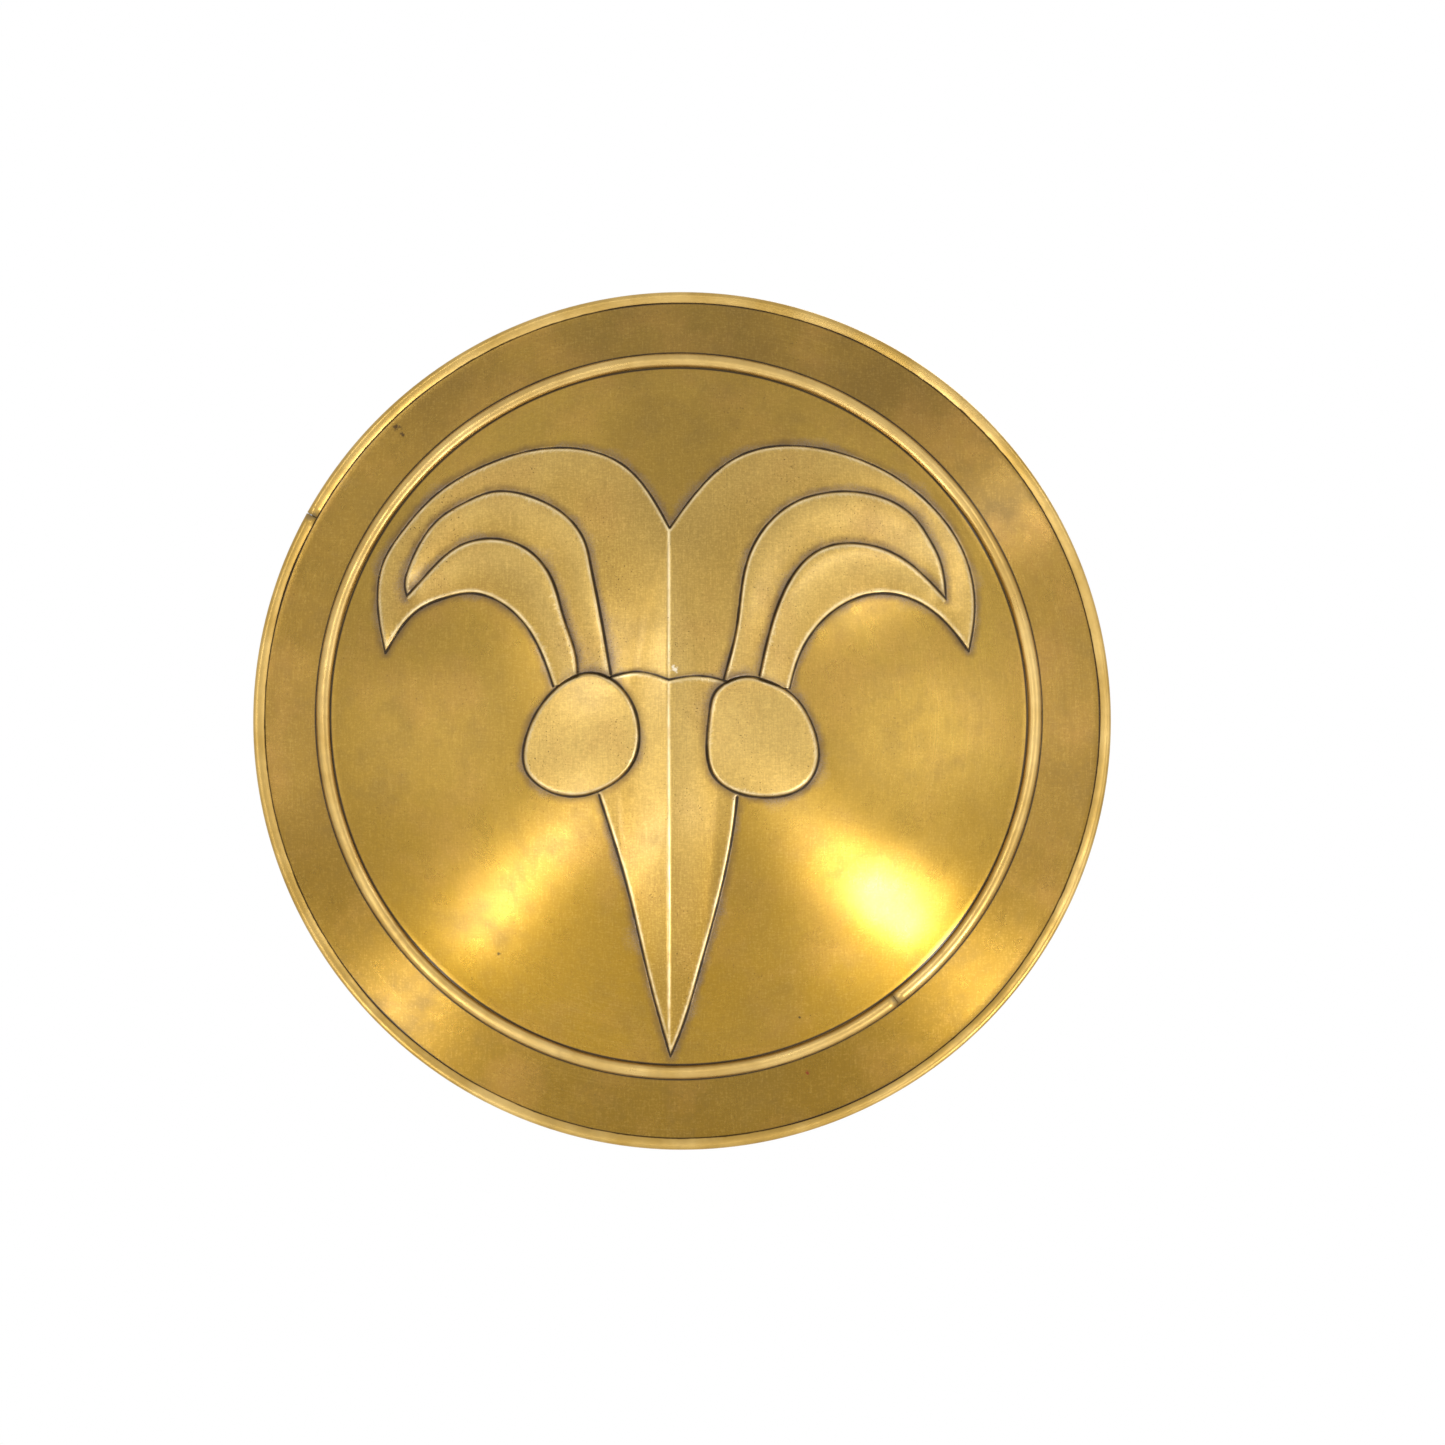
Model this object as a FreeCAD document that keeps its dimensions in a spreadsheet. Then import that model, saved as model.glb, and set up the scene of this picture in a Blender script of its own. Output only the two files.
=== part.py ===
import FreeCAD, Part
import math
import os
import Sketcher
from FreeCAD import Placement, Rotation, Vector

# A round brass shield with a chased horned head, its bead, bound rim, arm strap and hand grip.
# Origin: centre of the rim, on the plane of its dressed back edge.
# +X points right as the shield is seen from the front, +Y to the bearer, +Z up. Lengths are millimetres.

doc = FreeCAD.newDocument("shield")
sheet = doc.addObject("Spreadsheet::Sheet", "sizes")

driving_sizes = {
    # face sheet
    "rim_radius": 304.8,
    "sheet_thickness": 1.2,
    "brim_rise": 11.5,
    "brim_width": 58.5,
    "dome_rise": 62.0,
    "dome_shift_right": -2.3,
    "dome_shift_up": 3.2,
    "edge_flat_width": 3.9,
    # chased relief, as heights over the plain dome
    "horn_height": 1.5,
    "middle_lobe_height": 2.6,
    "inner_lobe_height": 3.6,
    "forehead_ridge_height": 5.0,
    "muzzle_ridge_height": 6.6,
    "ridge_end_height": 1.9,
    "ridge_roof_reach": 60.0,
    "eye_height": 6.0,
    "eye_ball_radius": 300.0,
    # bead ring
    "bead_offset": 5.6,
    "bead_radius": 5.3,
    "bead_sink": 1.3,
    # rim
    "rim_wire_radius": 2.0,
    "binding_thickness": 0.9,
    "front_flange_width": 8.0,
    "back_flange_width": 7.3,
    "rim_land_depth": 0.3,
    # fits
    "running_gap": 0.05,
    "contact_gap": 0.02,
    "solder_gap": 0.3,
    "leather_gap": 0.3,
    "overrun": 10.0,
    # arm strap
    "arm_loop_right": 122.0,
    "strap_width": 32.0,
    "strap_thickness": 2.4,
    "strap_span": 114.0,
    "strap_standoff": 45.0,
    "strap_bend_radius": 12.0,
    "strap_lap": 22.0,
    "lap_gap": 0.1,
    "strap_tail": 58.0,
    "lap_convergence": 8.0,
    "staple_radius": 2.0,
    "staple_standoff": 12.0,
    "staple_bend_radius": 4.0,
    "staple_side_gap": 1.5,
    "staple_foot_radius": 6.0,
    "staple_foot_height": 5.2,
    "slot_length": 13.6,
    "slot_width": 3.8,
    "slot_spacing": 20.0,
    "tail_corner": 9.0,
    # buckle
    "buckle_bar_radius": 2.0,
    "buckle_length": 24.0,
    "buckle_low": 4.0,
    "buckle_bend_radius": 2.8,
    "buckle_side_gap": 1.0,
    "tongue_radius": 1.3,
    "tongue_eye_radius": 3.6,
    "tongue_eye_width": 5.0,
    "tongue_overhang": 3.5,
    "fold_slot_width": 6.2,
    # keeper
    "keeper_low": 14.0,
    "keeper_width": 11.0,
    "keeper_thickness": 1.8,
    # strap rivets
    "rivet_radius": 1.8,
    "rivet_head_radius": 4.0,
    "rivet_head_height": 1.0,
    "rivet_head_edge": 0.3,
    "burr_height": 0.8,
    "burr_edge": 0.5,
    "rivet_spacing": 16.0,
    "rivet_standoff": 12.5,
    # hand grip
    "grip_left": -150.0,
    "grip_pin_span": 137.0,
    "grip_leg_inset": 8.5,
    "grip_axis_height": 11.0,
    "grip_throw": 33.5,
    "grip_rod_radius": 3.0,
    "grip_bend_radius": 9.0,
    "eye_thickness": 7.0,
    "eye_radius": 6.5,
    "eye_foot_width": 20.0,
    "eye_shoulder_height": 5.0,
    "pin_head_radius": 4.4,
    "pin_head_height": 1.6,
    "end_gap": 0.4,
    "core_radius": 8.0,
    "core_swell": 1.2,
    "wrap_thickness": 1.6,
    "handle_end_gap": 5.0,
    "ferrule_length": 4.0,
    "ferrule_thickness": 0.8,
    # hanging ring
    "hang_inset": 21.5,
    "ring_radius": 16.0,
    "ring_wire_radius": 2.0,
    "ring_play": 1.2,
    "clip_thickness": 1.2,
    "clip_width": 10.0,
    "clip_foot_length": 10.0,
}

for row, (name, value) in enumerate(driving_sizes.items(), 1):
    sheet.set("A%d" % row, name)
    sheet.set("B%d" % row, str(value))
    sheet.setAlias("B%d" % row, name)
doc.recompute()

# Outlines of the chased head, as shares of the dome's foot radius from the dome's centre.
# The two sides differ a little, because the head is drawn by hand.
left_horn_top_shares = [(-0.026, 0.533), (-0.167, 0.721), (-0.425, 0.759), (-0.540, 0.724), (-0.684, 0.645),
                        (-0.799, 0.523), (-0.845, 0.448), (-0.858, 0.281), (-0.838, 0.181)]
left_horn_under_shares = [(-0.838, 0.181), (-0.743, 0.303), (-0.651, 0.341), (-0.593, 0.350), (-0.478, 0.303),
                          (-0.420, 0.238), (-0.360, 0.097)]
left_middle_shares = [(-0.776, 0.344), (-0.782, 0.367), (-0.768, 0.436), (-0.683, 0.567), (-0.596, 0.618),
                      (-0.539, 0.639), (-0.452, 0.635), (-0.395, 0.615), (-0.337, 0.583), (-0.263, 0.488),
                      (-0.248, 0.425), (-0.234, 0.356), (-0.191, 0.119)]
left_inner_shares = [(-0.776, 0.344), (-0.724, 0.400), (-0.623, 0.487), (-0.451, 0.486), (-0.364, 0.400),
                     (-0.324, 0.280), (-0.287, 0.159), (-0.284, 0.125)]
right_horn_top_shares = [(-0.026, 0.533), (0.174, 0.742), (0.518, 0.735), (0.748, 0.577), (0.817, 0.468),
                         (0.845, 0.281), (0.828, 0.185)]
right_horn_under_shares = [(0.828, 0.185), (0.788, 0.238), (0.715, 0.306), (0.600, 0.349), (0.542, 0.346),
                           (0.485, 0.327), (0.345, 0.181), (0.316, 0.091)]
right_middle_shares = [(0.762, 0.335), (0.746, 0.447), (0.718, 0.504), (0.672, 0.570), (0.488, 0.641),
                       (0.402, 0.633), (0.344, 0.615), (0.201, 0.462), (0.164, 0.260), (0.130, 0.125)]
right_inner_shares = [(0.762, 0.335), (0.601, 0.469), (0.400, 0.473), (0.266, 0.274), (0.227, 0.116)]
left_brow_shares = [(-0.188, 0.113), (-0.115, 0.126), (-0.028, 0.103)]
right_brow_shares = [(-0.028, 0.103), (0.060, 0.114), (0.136, 0.099)]
left_muzzle_shares = [(-0.225, -0.222), (-0.149, -0.474), (-0.082, -0.762), (-0.024, -0.977)]
right_muzzle_shares = [(-0.024, -0.977), (0.003, -0.910), (0.063, -0.710), (0.158, -0.292), (0.164, -0.239)]
left_eye_shares = [(-0.247, 0.124), (-0.359, 0.067), (-0.427, -0.044), (-0.432, -0.154), (-0.389, -0.200),
                   (-0.284, -0.226), (-0.222, -0.210), (-0.127, -0.129), (-0.174, 0.094)]
right_eye_shares = [(0.198, 0.113), (0.144, 0.102), (0.099, 0.063), (0.085, 0.004), (0.100, -0.171),
                    (0.237, -0.229), (0.370, -0.183), (0.394, -0.129), (0.381, -0.033), (0.309, 0.070),
                    (0.257, 0.097)]
left_outside_shares = [(-0.700, 0.220), (-0.430, 0.020)]      # places under the horn, outside its lower line
right_outside_shares = [(0.690, 0.220), (0.400, 0.020)]
left_eye_centre_share = (-0.278, -0.061)
right_eye_centre_share = (0.237, -0.061)
ridge_right_share = -0.028
ridge_low_share = -0.22       # height of the ridge's highest point
ridge_notch_share = 0.533     # height of the ridge's upper end
ridge_tip_share = -0.977      # height of the ridge's lower end
ridge_slope_share = 0.16      # fall of each facet beside the ridge, per unit of width
ridge_turn_share = 1.5        # the facets are turned this much past both ends of the ridge
brim_start_share = -0.03      # the brim's cone runs a little past both of its edges
brim_end_share = 1.15


def size(name):
    return float(sheet.get(name))


# Sizes that follow from the driving ones
thickness = size("sheet_thickness")
foot_radius = size("rim_radius") - size("brim_width")
bead_ring_radius = foot_radius + size("bead_offset")
hang_height = size("dome_shift_up") + foot_radius - size("hang_inset")
front_radius = (foot_radius ** 2 + size("dome_rise") ** 2) / (2 * size("dome_rise"))
back_radius = front_radius - thickness
wire_ring_radius = size("rim_radius") - size("binding_thickness") - size("rim_wire_radius")
wire_depth = size("rim_wire_radius") + size("binding_thickness") - size("rim_land_depth")
edge_front = wire_depth + thickness / 2
edge_back = wire_depth - thickness / 2
edge_radius = wire_ring_radius - size("rim_wire_radius") - size("running_gap")
brim_radius = edge_radius - size("edge_flat_width")
foot_depth = edge_front + size("brim_rise")
crown_depth = foot_depth + size("dome_rise")
centre_back = front_radius - crown_depth
dome_centre = Vector(size("dome_shift_right"), centre_back, size("dome_shift_up"))
brim_slope = math.atan2(size("brim_rise"), brim_radius - foot_radius)
leather = size("strap_thickness")

foot_rule = "(sizes.rim_radius - sizes.brim_width)"
front_radius_rule = "((%s ^ 2 + sizes.dome_rise ^ 2) / (2 * sizes.dome_rise))" % foot_rule
back_radius_rule = "(%s - sizes.sheet_thickness)" % front_radius_rule
face_away = Rotation(Vector(1, 0, 0), 90)   # turns a form's own Z to point out of the front


def add(kind, name, rules=None, **values):
    """One object of the document: rules are expressions on its sizes, values are its other properties."""
    thing = doc.addObject(kind, name)
    for prop, value in values.items():
        setattr(thing, prop, value)
    for prop, rule in (rules or {}).items():
        thing.setExpression(prop, rule)
    return thing


def fuse(name, shapes):
    return add("Part::MultiFuse", name, Shapes=shapes)


def cut(name, base, tool):
    return add("Part::Cut", name, Base=base, Tool=tool)


def common(name, base, tool):
    return add("Part::Common", name, Base=base, Tool=tool)


def bar(name, radius_rule, length_rule, place):
    return add("Part::Cylinder", name, {"Radius": radius_rule, "Height": length_rule}, Placement=place)


def block(name, low, high):
    """A box between two corners that are worked out from the sizes."""
    return add("Part::Box", name, Length=high[0] - low[0], Width=high[1] - low[1], Height=high[2] - low[2],
               Placement=Placement(Vector(*low), Rotation()))


def origin_plane(body, role):
    return [o for o in body.Origin.OriginFeatures if o.Role == role][0]


def corner_sketch(body, name, role, corners):
    """A closed sketch of straight sides, each corner held by two expressions on the sheet's sizes."""
    sketch = body.newObject("Sketcher::SketchObject", name)
    sketch.AttachmentSupport = [(origin_plane(body, role), "")]
    sketch.MapMode = "FlatFace"
    places = [Vector(worked_value(a), worked_value(b), 0) for a, b in corners]
    for i, place in enumerate(places):
        sketch.addGeometry(Part.LineSegment(place, places[(i + 1) % len(places)]), False)
    for i in range(len(places)):
        sketch.addConstraint(Sketcher.Constraint("Coincident", i, 2, (i + 1) % len(places), 1))
    for i, (across, along) in enumerate(corners):
        hold_corner(sketch, i, "DistanceX", across, places[i].x, -2)
        hold_corner(sketch, i, "DistanceY", along, places[i].y, -1)
    return sketch


def worked_value(rule):
    """The number that an expression on the sheet's sizes has now."""
    return float(sheet.evalExpression(rule.replace("sizes.", "")))


def hold_corner(sketch, line, kind, rule, value, axis):
    if rule == "0":
        sketch.addConstraint(Sketcher.Constraint("PointOnObject", line, 1, axis))
        return
    index = sketch.addConstraint(Sketcher.Constraint(kind, -1, 1, line, 1, value))
    sketch.setExpression("Constraints[%d]" % index, rule)


def turned(name, corners):
    """A body turned about its own Z axis, from corners given as radius and height."""
    body = doc.addObject("PartDesign::Body", name)
    sketch = corner_sketch(body, name + "_section", "XZ_Plane", corners)
    spin = body.newObject("PartDesign::Revolution", name + "_turn")
    spin.Profile = sketch
    spin.ReferenceAxis = (sketch, ["V_Axis"])
    spin.Angle = 360
    body.Tip = spin
    return body


def rounded_path(points, bends, closed=False):
    """Straight runs joined by tangent arcs, one bend radius for each inner corner."""
    edges = []
    count = len(points)
    inner = range(count) if closed else range(1, count - 1)
    turns = {}
    for k, i in enumerate(inner):
        corner = points[i]
        back = (points[i - 1] - corner).normalize()
        ahead = (points[(i + 1) % count] - corner).normalize()
        half = back.getAngle(ahead) / 2
        reach = bends[k] / math.tan(half)
        middle = (back + ahead).normalize()
        crown = corner + middle * (bends[k] / math.sin(half) - bends[k])
        turns[i] = (corner + back * reach, crown, corner + ahead * reach)
    runs = range(count) if closed else range(count - 1)
    for i in runs:
        j = (i + 1) % count
        start = turns[i][2] if i in turns else points[i]
        end = turns[j][0] if j in turns else points[j]
        if (end - start).Length > 1e-6:
            edges.append(Part.makeLine(start, end))
        if j in turns and (j != 0 or closed):
            edges.append(Part.Arc(*turns[j]).toShape())
    return Part.Wire(edges)


def rod(name, radius_rule, points, bends, closed=False):
    """A round rod swept along a path of runs and bends."""
    wire = rounded_path(points, bends, closed)
    path = add("Part::Feature", name + "_path", Shape=wire)
    first = wire.OrderedEdges[0]
    start = first.valueAt(first.FirstParameter)
    heading = first.tangentAt(first.FirstParameter)
    ring = add("Part::Circle", name + "_round", {"Radius": radius_rule},
               Placement=Placement(start, Rotation(Vector(0, 0, 1), heading)))
    edge_names = ["Edge%d" % (i + 1) for i in range(len(wire.Edges))]
    return add("Part::Sweep", name, Sections=[ring], Spine=(path, edge_names), Solid=True, Frenet=True)


def strip(name, points, bends, half_width_rule, thick):
    """A flat strip of even thickness: its edge line, in the plane of Y and Z, is pushed out along X."""
    centre = rounded_path(points, bends)
    half = thick / 2
    sides = []
    for sign in (1, -1):
        side = []
        for edge in centre.OrderedEdges:
            ends = []
            middle = (edge.FirstParameter + edge.LastParameter) / 2
            for at in (edge.FirstParameter, middle, edge.LastParameter):
                along = edge.tangentAt(at)
                ends.append(edge.valueAt(at) + Vector(0, -along.z, along.y) * (sign * half))
            if edge.Curve.TypeId == "Part::GeomLine":
                side.append(Part.makeLine(ends[0], ends[2]))
            else:
                side.append(Part.Arc(*ends).toShape())
        sides.append(side)
    left, right = sides
    cap_start = Part.makeLine(left[0].Vertexes[0].Point, right[0].Vertexes[0].Point)
    cap_end = Part.makeLine(left[-1].Vertexes[-1].Point, right[-1].Vertexes[-1].Point)
    loop = Part.Wire(Part.__sortEdges__(left + [cap_end] + right + [cap_start]))
    line = add("Part::Feature", name + "_edge", Shape=loop)
    return add("Part::Extrusion", name, {"LengthFwd": half_width_rule, "LengthRev": half_width_rule},
               Base=line, DirMode="Custom", Dir=Vector(1, 0, 0), Solid=True)


# Face sheet: brim, dome and the chased head

def over_dome(share, depth=foot_depth):
    """A place given in shares of the dome's foot radius, on the plane of the dome's foot."""
    return Vector(dome_centre.x + share[0] * foot_radius, -depth, dome_centre.z + share[1] * foot_radius)


def brim_circle(name, share, drop):
    """One circle of the brim's cone, between the rim's circle (0) and the dome's foot (1)."""
    depth = edge_front + share * size("brim_rise") - drop
    radius = brim_radius + share * (foot_radius - brim_radius)
    place = Vector(dome_centre.x * share, -depth, dome_centre.z * share)
    return add("Part::Circle", name, Radius=radius, Placement=Placement(place, face_away))


def brim(name, drop):
    outer = brim_circle(name + "_outer", brim_start_share, drop)
    inner = brim_circle(name + "_inner", brim_end_share, drop)
    return add("Part::Loft", name, Sections=[outer, inner], Solid=True, Ruled=True)


def ball(name, radius_rule, centre=dome_centre):
    return add("Part::Sphere", name, {"Radius": radius_rule}, Placement=Placement(centre, Rotation()))


def dome(name, radius_rule):
    whole = ball(name + "_ball", radius_rule)
    start = Vector(0, -(foot_depth - size("bead_radius")), 0)
    space = bar(name + "_space", "sizes.rim_radius", "sizes.dome_rise + sizes.brim_rise + sizes.overrun",
                Placement(start, face_away))
    return common(name, whole, space)


front_brim = brim("front_brim", 0)
back_brim = brim("back_brim", thickness / math.cos(brim_slope))
front_dome = dome("front_dome", front_radius_rule)
back_dome = dome("back_dome", back_radius_rule)
edge_plate = bar("edge_plate",
                 "sizes.rim_radius - sizes.binding_thickness - 2 * sizes.rim_wire_radius - sizes.running_gap",
                 "sizes.sheet_thickness", Placement(Vector(0, -edge_back, 0), face_away))
plain_front = fuse("plain_front", [front_brim, front_dome, edge_plate])


def outline(name, runs, drawn_to=None):
    """A closed line through runs of places: two places are a straight run, more are one smooth curve.
    Its places can be drawn one sheet thickness towards a middle."""
    edges = []
    for run in runs:
        places = [over_dome(share) for share in run]
        if drawn_to:
            places = [place + (over_dome(drawn_to) - place).normalize() * thickness for place in places]
        curve = Part.BSplineCurve()
        if len(places) == 2:
            edges.append(Part.makeLine(*places))
        elif run[0] == run[-1]:
            curve.interpolate(Points=places[:-1], PeriodicFlag=True)
            edges.append(curve.toShape())
        else:
            curve.interpolate(places)
            edges.append(curve.toShape())
    return add("Part::Feature", name, Shape=Part.Wire(Part.__sortEdges__(edges)))


def prisms(name, runs, middle=None):
    """The space straight behind an outline, and the same space one sheet thickness inside it."""
    line = outline(name + "_line", runs)
    if middle:
        inset = outline(name + "_inset", runs, middle)
    else:
        inset = add("Part::Feature", name + "_inset", Shape=line.Shape.makeOffset2D(-thickness).toNurbs())
    return [add("Part::Extrusion", "%s_%s_prism" % (name, side), {"LengthFwd": "sizes.dome_rise + sizes.overrun"},
                Base=wire, DirMode="Custom", Dir=Vector(0, -1, 0), Solid=True)
            for side, wire in (("front", line), ("back", inset))]


def raised(name, spaces, forms):
    """One raised field of the chasing: its solid, and the hollow behind it."""
    return [common("%s_%s" % (name, side), space, form)
            for side, space, form in zip(("front", "back"), spaces, forms)]


def level(height):
    """The two spheres, front and back, of a field raised by a named height."""
    return [ball("%s_%s" % (height, side), "%s + sizes.%s" % (rule, height))
            for side, rule in (("front", front_radius_rule), ("back", back_radius_rule))]


def ridge_roof(name, ridge_height, sink):
    """Two long facets that meet in a sharp ridge and die out towards the ridge's two ends."""
    low_angle = math.asin(ridge_low_share * foot_radius / front_radius)
    notch_angle = math.asin(ridge_notch_share * foot_radius / front_radius)
    tip_angle = math.asin(ridge_tip_share * foot_radius / front_radius)
    half_angle = (notch_angle - tip_angle) / 2
    lean = (ridge_height - size("ridge_end_height")) / (1 - math.cos(half_angle))
    aim = Vector(0, -math.cos(low_angle), math.sin(low_angle))
    centre = Vector(dome_centre.x + ridge_right_share * foot_radius, dome_centre.y, dome_centre.z) + aim * lean
    top = front_radius + ridge_height - lean - sink
    reach = size("ridge_roof_reach")
    side = top - reach * ridge_slope_share
    base = top - reach
    section = [(0, top), (reach, side), (reach, base), (-reach, base), (-reach, side), (0, top)]
    swing = ridge_turn_share * half_angle
    start = Rotation(Vector(1, 0, 0), math.degrees(-low_angle - swing))
    corners = [centre + start.multVec(Vector(across, -out, 0)) for across, out in section]
    face = add("Part::Feature", name + "_section", Shape=Part.Face(Part.makePolygon(corners)))
    return add("Part::Revolution", name, Source=face, Base=centre, Axis=Vector(1, 0, 0),
               Angle=math.degrees(2 * swing), Solid=True)


def eye_ball(name, centre_share, sink):
    flat = over_dome(centre_share, -dome_centre.y) - dome_centre
    aim = Vector(flat.x, -math.sqrt(front_radius ** 2 - flat.x ** 2 - flat.z ** 2), flat.z).normalize()
    centre = dome_centre + aim * (front_radius + size("eye_height") - size("eye_ball_radius"))
    return ball(name, "sizes.eye_ball_radius - %s" % sink, centre)


head_runs = [left_horn_top_shares, left_horn_under_shares, [left_horn_under_shares[-1], left_brow_shares[0]],
             left_brow_shares, right_brow_shares, [right_brow_shares[-1], right_horn_under_shares[-1]],
             right_horn_under_shares, right_horn_top_shares]
muzzle_runs = [left_brow_shares, right_brow_shares, [right_brow_shares[-1], right_eye_centre_share],
               [right_eye_centre_share, right_muzzle_shares[-1]], right_muzzle_shares, left_muzzle_shares,
               [left_muzzle_shares[0], left_eye_centre_share], [left_eye_centre_share, left_brow_shares[0]]]
head_prisms = prisms("head", head_runs)
middle_level = level("middle_lobe_height")
inner_level = level("inner_lobe_height")


def middle_lobe(name, upper, lower, eye_centre):
    """The field of a horn between its two inner lines, closed inside the eye."""
    runs = [upper, [upper[-1], eye_centre], [eye_centre, lower[-1]], lower]
    return raised(name, prisms(name, runs), middle_level)


def inner_lobe(name, upper, outside, eye_centre):
    """The field under a horn's last line, down to the horn's own lower edge."""
    way = [upper[0]] + outside + [eye_centre, upper[-1]]
    wide = prisms(name, [upper] + [[way[i], way[i + 1]] for i in range(len(way) - 1)])
    trimmed = [common("%s_%s_trim" % (name, side), space, head)
               for side, space, head in zip(("front", "back"), wide, head_prisms)]
    return raised(name, trimmed, inner_level)


fields = [
    raised("horns", head_prisms, level("horn_height")),
    middle_lobe("left_middle", left_middle_shares, left_inner_shares, left_eye_centre_share),
    middle_lobe("right_middle", right_middle_shares, right_inner_shares, right_eye_centre_share),
    inner_lobe("left_inner", left_inner_shares, left_outside_shares, left_eye_centre_share),
    inner_lobe("right_inner", right_inner_shares, right_outside_shares, right_eye_centre_share),
    raised("forehead", head_prisms, [ridge_roof("forehead_roof", size("forehead_ridge_height"), 0),
                                     ridge_roof("forehead_hollow", size("forehead_ridge_height"), thickness)]),
    raised("muzzle", prisms("muzzle", muzzle_runs), [ridge_roof("muzzle_roof", size("muzzle_ridge_height"), 0),
                                                     ridge_roof("muzzle_hollow", size("muzzle_ridge_height"),
                                                                thickness)]),
    raised("left_eye", prisms("left_eye", [left_eye_shares + left_eye_shares[:1]], left_eye_centre_share),
           [eye_ball("left_eye_pillow", left_eye_centre_share, "0 * sizes.sheet_thickness"),
            eye_ball("left_eye_hollow", left_eye_centre_share, "sizes.sheet_thickness")]),
    raised("right_eye", prisms("right_eye", [right_eye_shares + right_eye_shares[:1]], right_eye_centre_share),
           [eye_ball("right_eye_pillow", right_eye_centre_share, "0 * sizes.sheet_thickness"),
            eye_ball("right_eye_hollow", right_eye_centre_share, "sizes.sheet_thickness")]),
]
front_form = fuse("front_form", [plain_front] + [front for front, back in fields])
back_form = fuse("back_form", [back_brim, back_dome] + [back for front, back in fields])
face_sheet = cut("face_sheet", front_form, back_form)

# Bead ring: a half-round brass ring soldered round the dome's foot, made as two halves that meet
bead_depth = edge_front + size("brim_rise") * (brim_radius - bead_ring_radius) / (brim_radius - foot_radius)
bead_centre = Vector(dome_centre.x, -(bead_depth - size("bead_sink")), dome_centre.z)
bead_halves = []
for side, turn in (("right", 0), ("left", 180)):
    half_turn = face_away.multiply(Rotation(Vector(0, 0, 1), turn))
    half_whole = add("Part::Torus", "bead_%s_whole" % side,
                     {"Radius1": foot_rule + " + sizes.bead_offset", "Radius2": "sizes.bead_radius"},
                     Angle3=180, Placement=Placement(bead_centre, half_turn))
    bead_halves.append(cut("bead_%s_half" % side, half_whole, plain_front))
bead_ring = add("Part::Fuse", "bead_ring", Base=bead_halves[0], Tool=bead_halves[1])

# Rim: a steel wire along the sheet's edge, and the folded brass strip that binds both
rim_wire = add("Part::Torus", "rim_wire",
               {"Radius1": "sizes.rim_radius - sizes.binding_thickness - sizes.rim_wire_radius",
                "Radius2": "sizes.rim_wire_radius"},
               Placement=Placement(Vector(0, -wire_depth, 0), face_away))


def tangent_place(spot, centre, radius, side):
    """Where the straight line from a spot touches a circle, on the given side."""
    apart = math.hypot(spot[0] - centre[0], spot[1] - centre[1])
    angle = math.atan2(spot[1] - centre[1], spot[0] - centre[0]) + side * math.acos(radius / apart)
    return (centre[0] + radius * math.cos(angle), centre[1] + radius * math.sin(angle))


def binding_section():
    """The folded strip's section, as distances from the rim's axis and from its back plane."""
    wire = (wire_ring_radius, wire_depth)
    outside = size("rim_wire_radius") + size("binding_thickness")
    inside = size("rim_wire_radius") + size("running_gap")
    gap = size("contact_gap")
    front_edge = size("rim_radius") - size("front_flange_width")
    back_edge = size("rim_radius") - size("back_flange_width")
    land = math.sqrt(outside ** 2 - wire_depth ** 2)
    tip_top = (front_edge, edge_front + gap + size("binding_thickness"))
    tip_under = (front_edge, edge_front + gap)
    foot_top = (back_edge, edge_back - gap)
    foot_under = (back_edge, edge_back - gap - size("binding_thickness"))
    top_touch = tangent_place(tip_top, wire, outside, -1)
    inner_top = tangent_place(tip_under, wire, inside, -1)
    inner_low = tangent_place(foot_top, wire, inside, 1)
    far_out = (wire[0] + outside, wire[1])
    far_in = (wire[0] + inside, wire[1])
    land_out = (wire[0] + land, 0)
    land_in = (wire[0] - land, 0)

    def at(place):
        return Vector(place[0], place[1], 0)

    return [Part.LineSegment(at(tip_top), at(top_touch)), Part.Arc(at(top_touch), at(far_out), at(land_out)),
            Part.LineSegment(at(land_out), at(land_in)), Part.LineSegment(at(land_in), at(foot_under)),
            Part.LineSegment(at(foot_under), at(foot_top)), Part.LineSegment(at(foot_top), at(inner_low)),
            Part.Arc(at(inner_low), at(far_in), at(inner_top)), Part.LineSegment(at(inner_top), at(tip_under)),
            Part.LineSegment(at(tip_under), at(tip_top))]


def folded_binding():
    body = doc.addObject("PartDesign::Body", "rim_binding")
    sketch = body.newObject("Sketcher::SketchObject", "rim_binding_section")
    sketch.AttachmentSupport = [(origin_plane(body, "XZ_Plane"), "")]
    sketch.MapMode = "FlatFace"
    sketch.addGeometry(binding_section(), False)
    for i in range(sketch.GeometryCount):
        sketch.addConstraint(Sketcher.Constraint("Block", i))
    spin = body.newObject("PartDesign::Revolution", "rim_binding_turn")
    spin.Profile = sketch
    spin.ReferenceAxis = (sketch, ["V_Axis"])
    spin.Angle = 360
    body.Tip = spin
    body.Placement = Placement(Vector(0, 0, 0), face_away)
    return body


rim_binding = folded_binding()

# Fittings behind the dome are built where its back face touches the origin, with +Y towards the bearer
trim_ball = ball("trim_ball", back_radius_rule + " - sizes.solder_gap", Vector(0, back_radius, 0))


def behind_dome(sideways, up):
    """The place of a fitting that sits square on the dome's back, to one side of its centre or above it."""
    turn = Rotation(Vector(0, 0, 1), math.degrees(math.asin(sideways / back_radius)))
    tilt = Rotation(Vector(1, 0, 0), -math.degrees(math.asin(up / back_radius)))
    turn = turn.multiply(tilt)
    return Placement(dome_centre + turn.multVec(Vector(0, -back_radius, 0)), turn)


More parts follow.
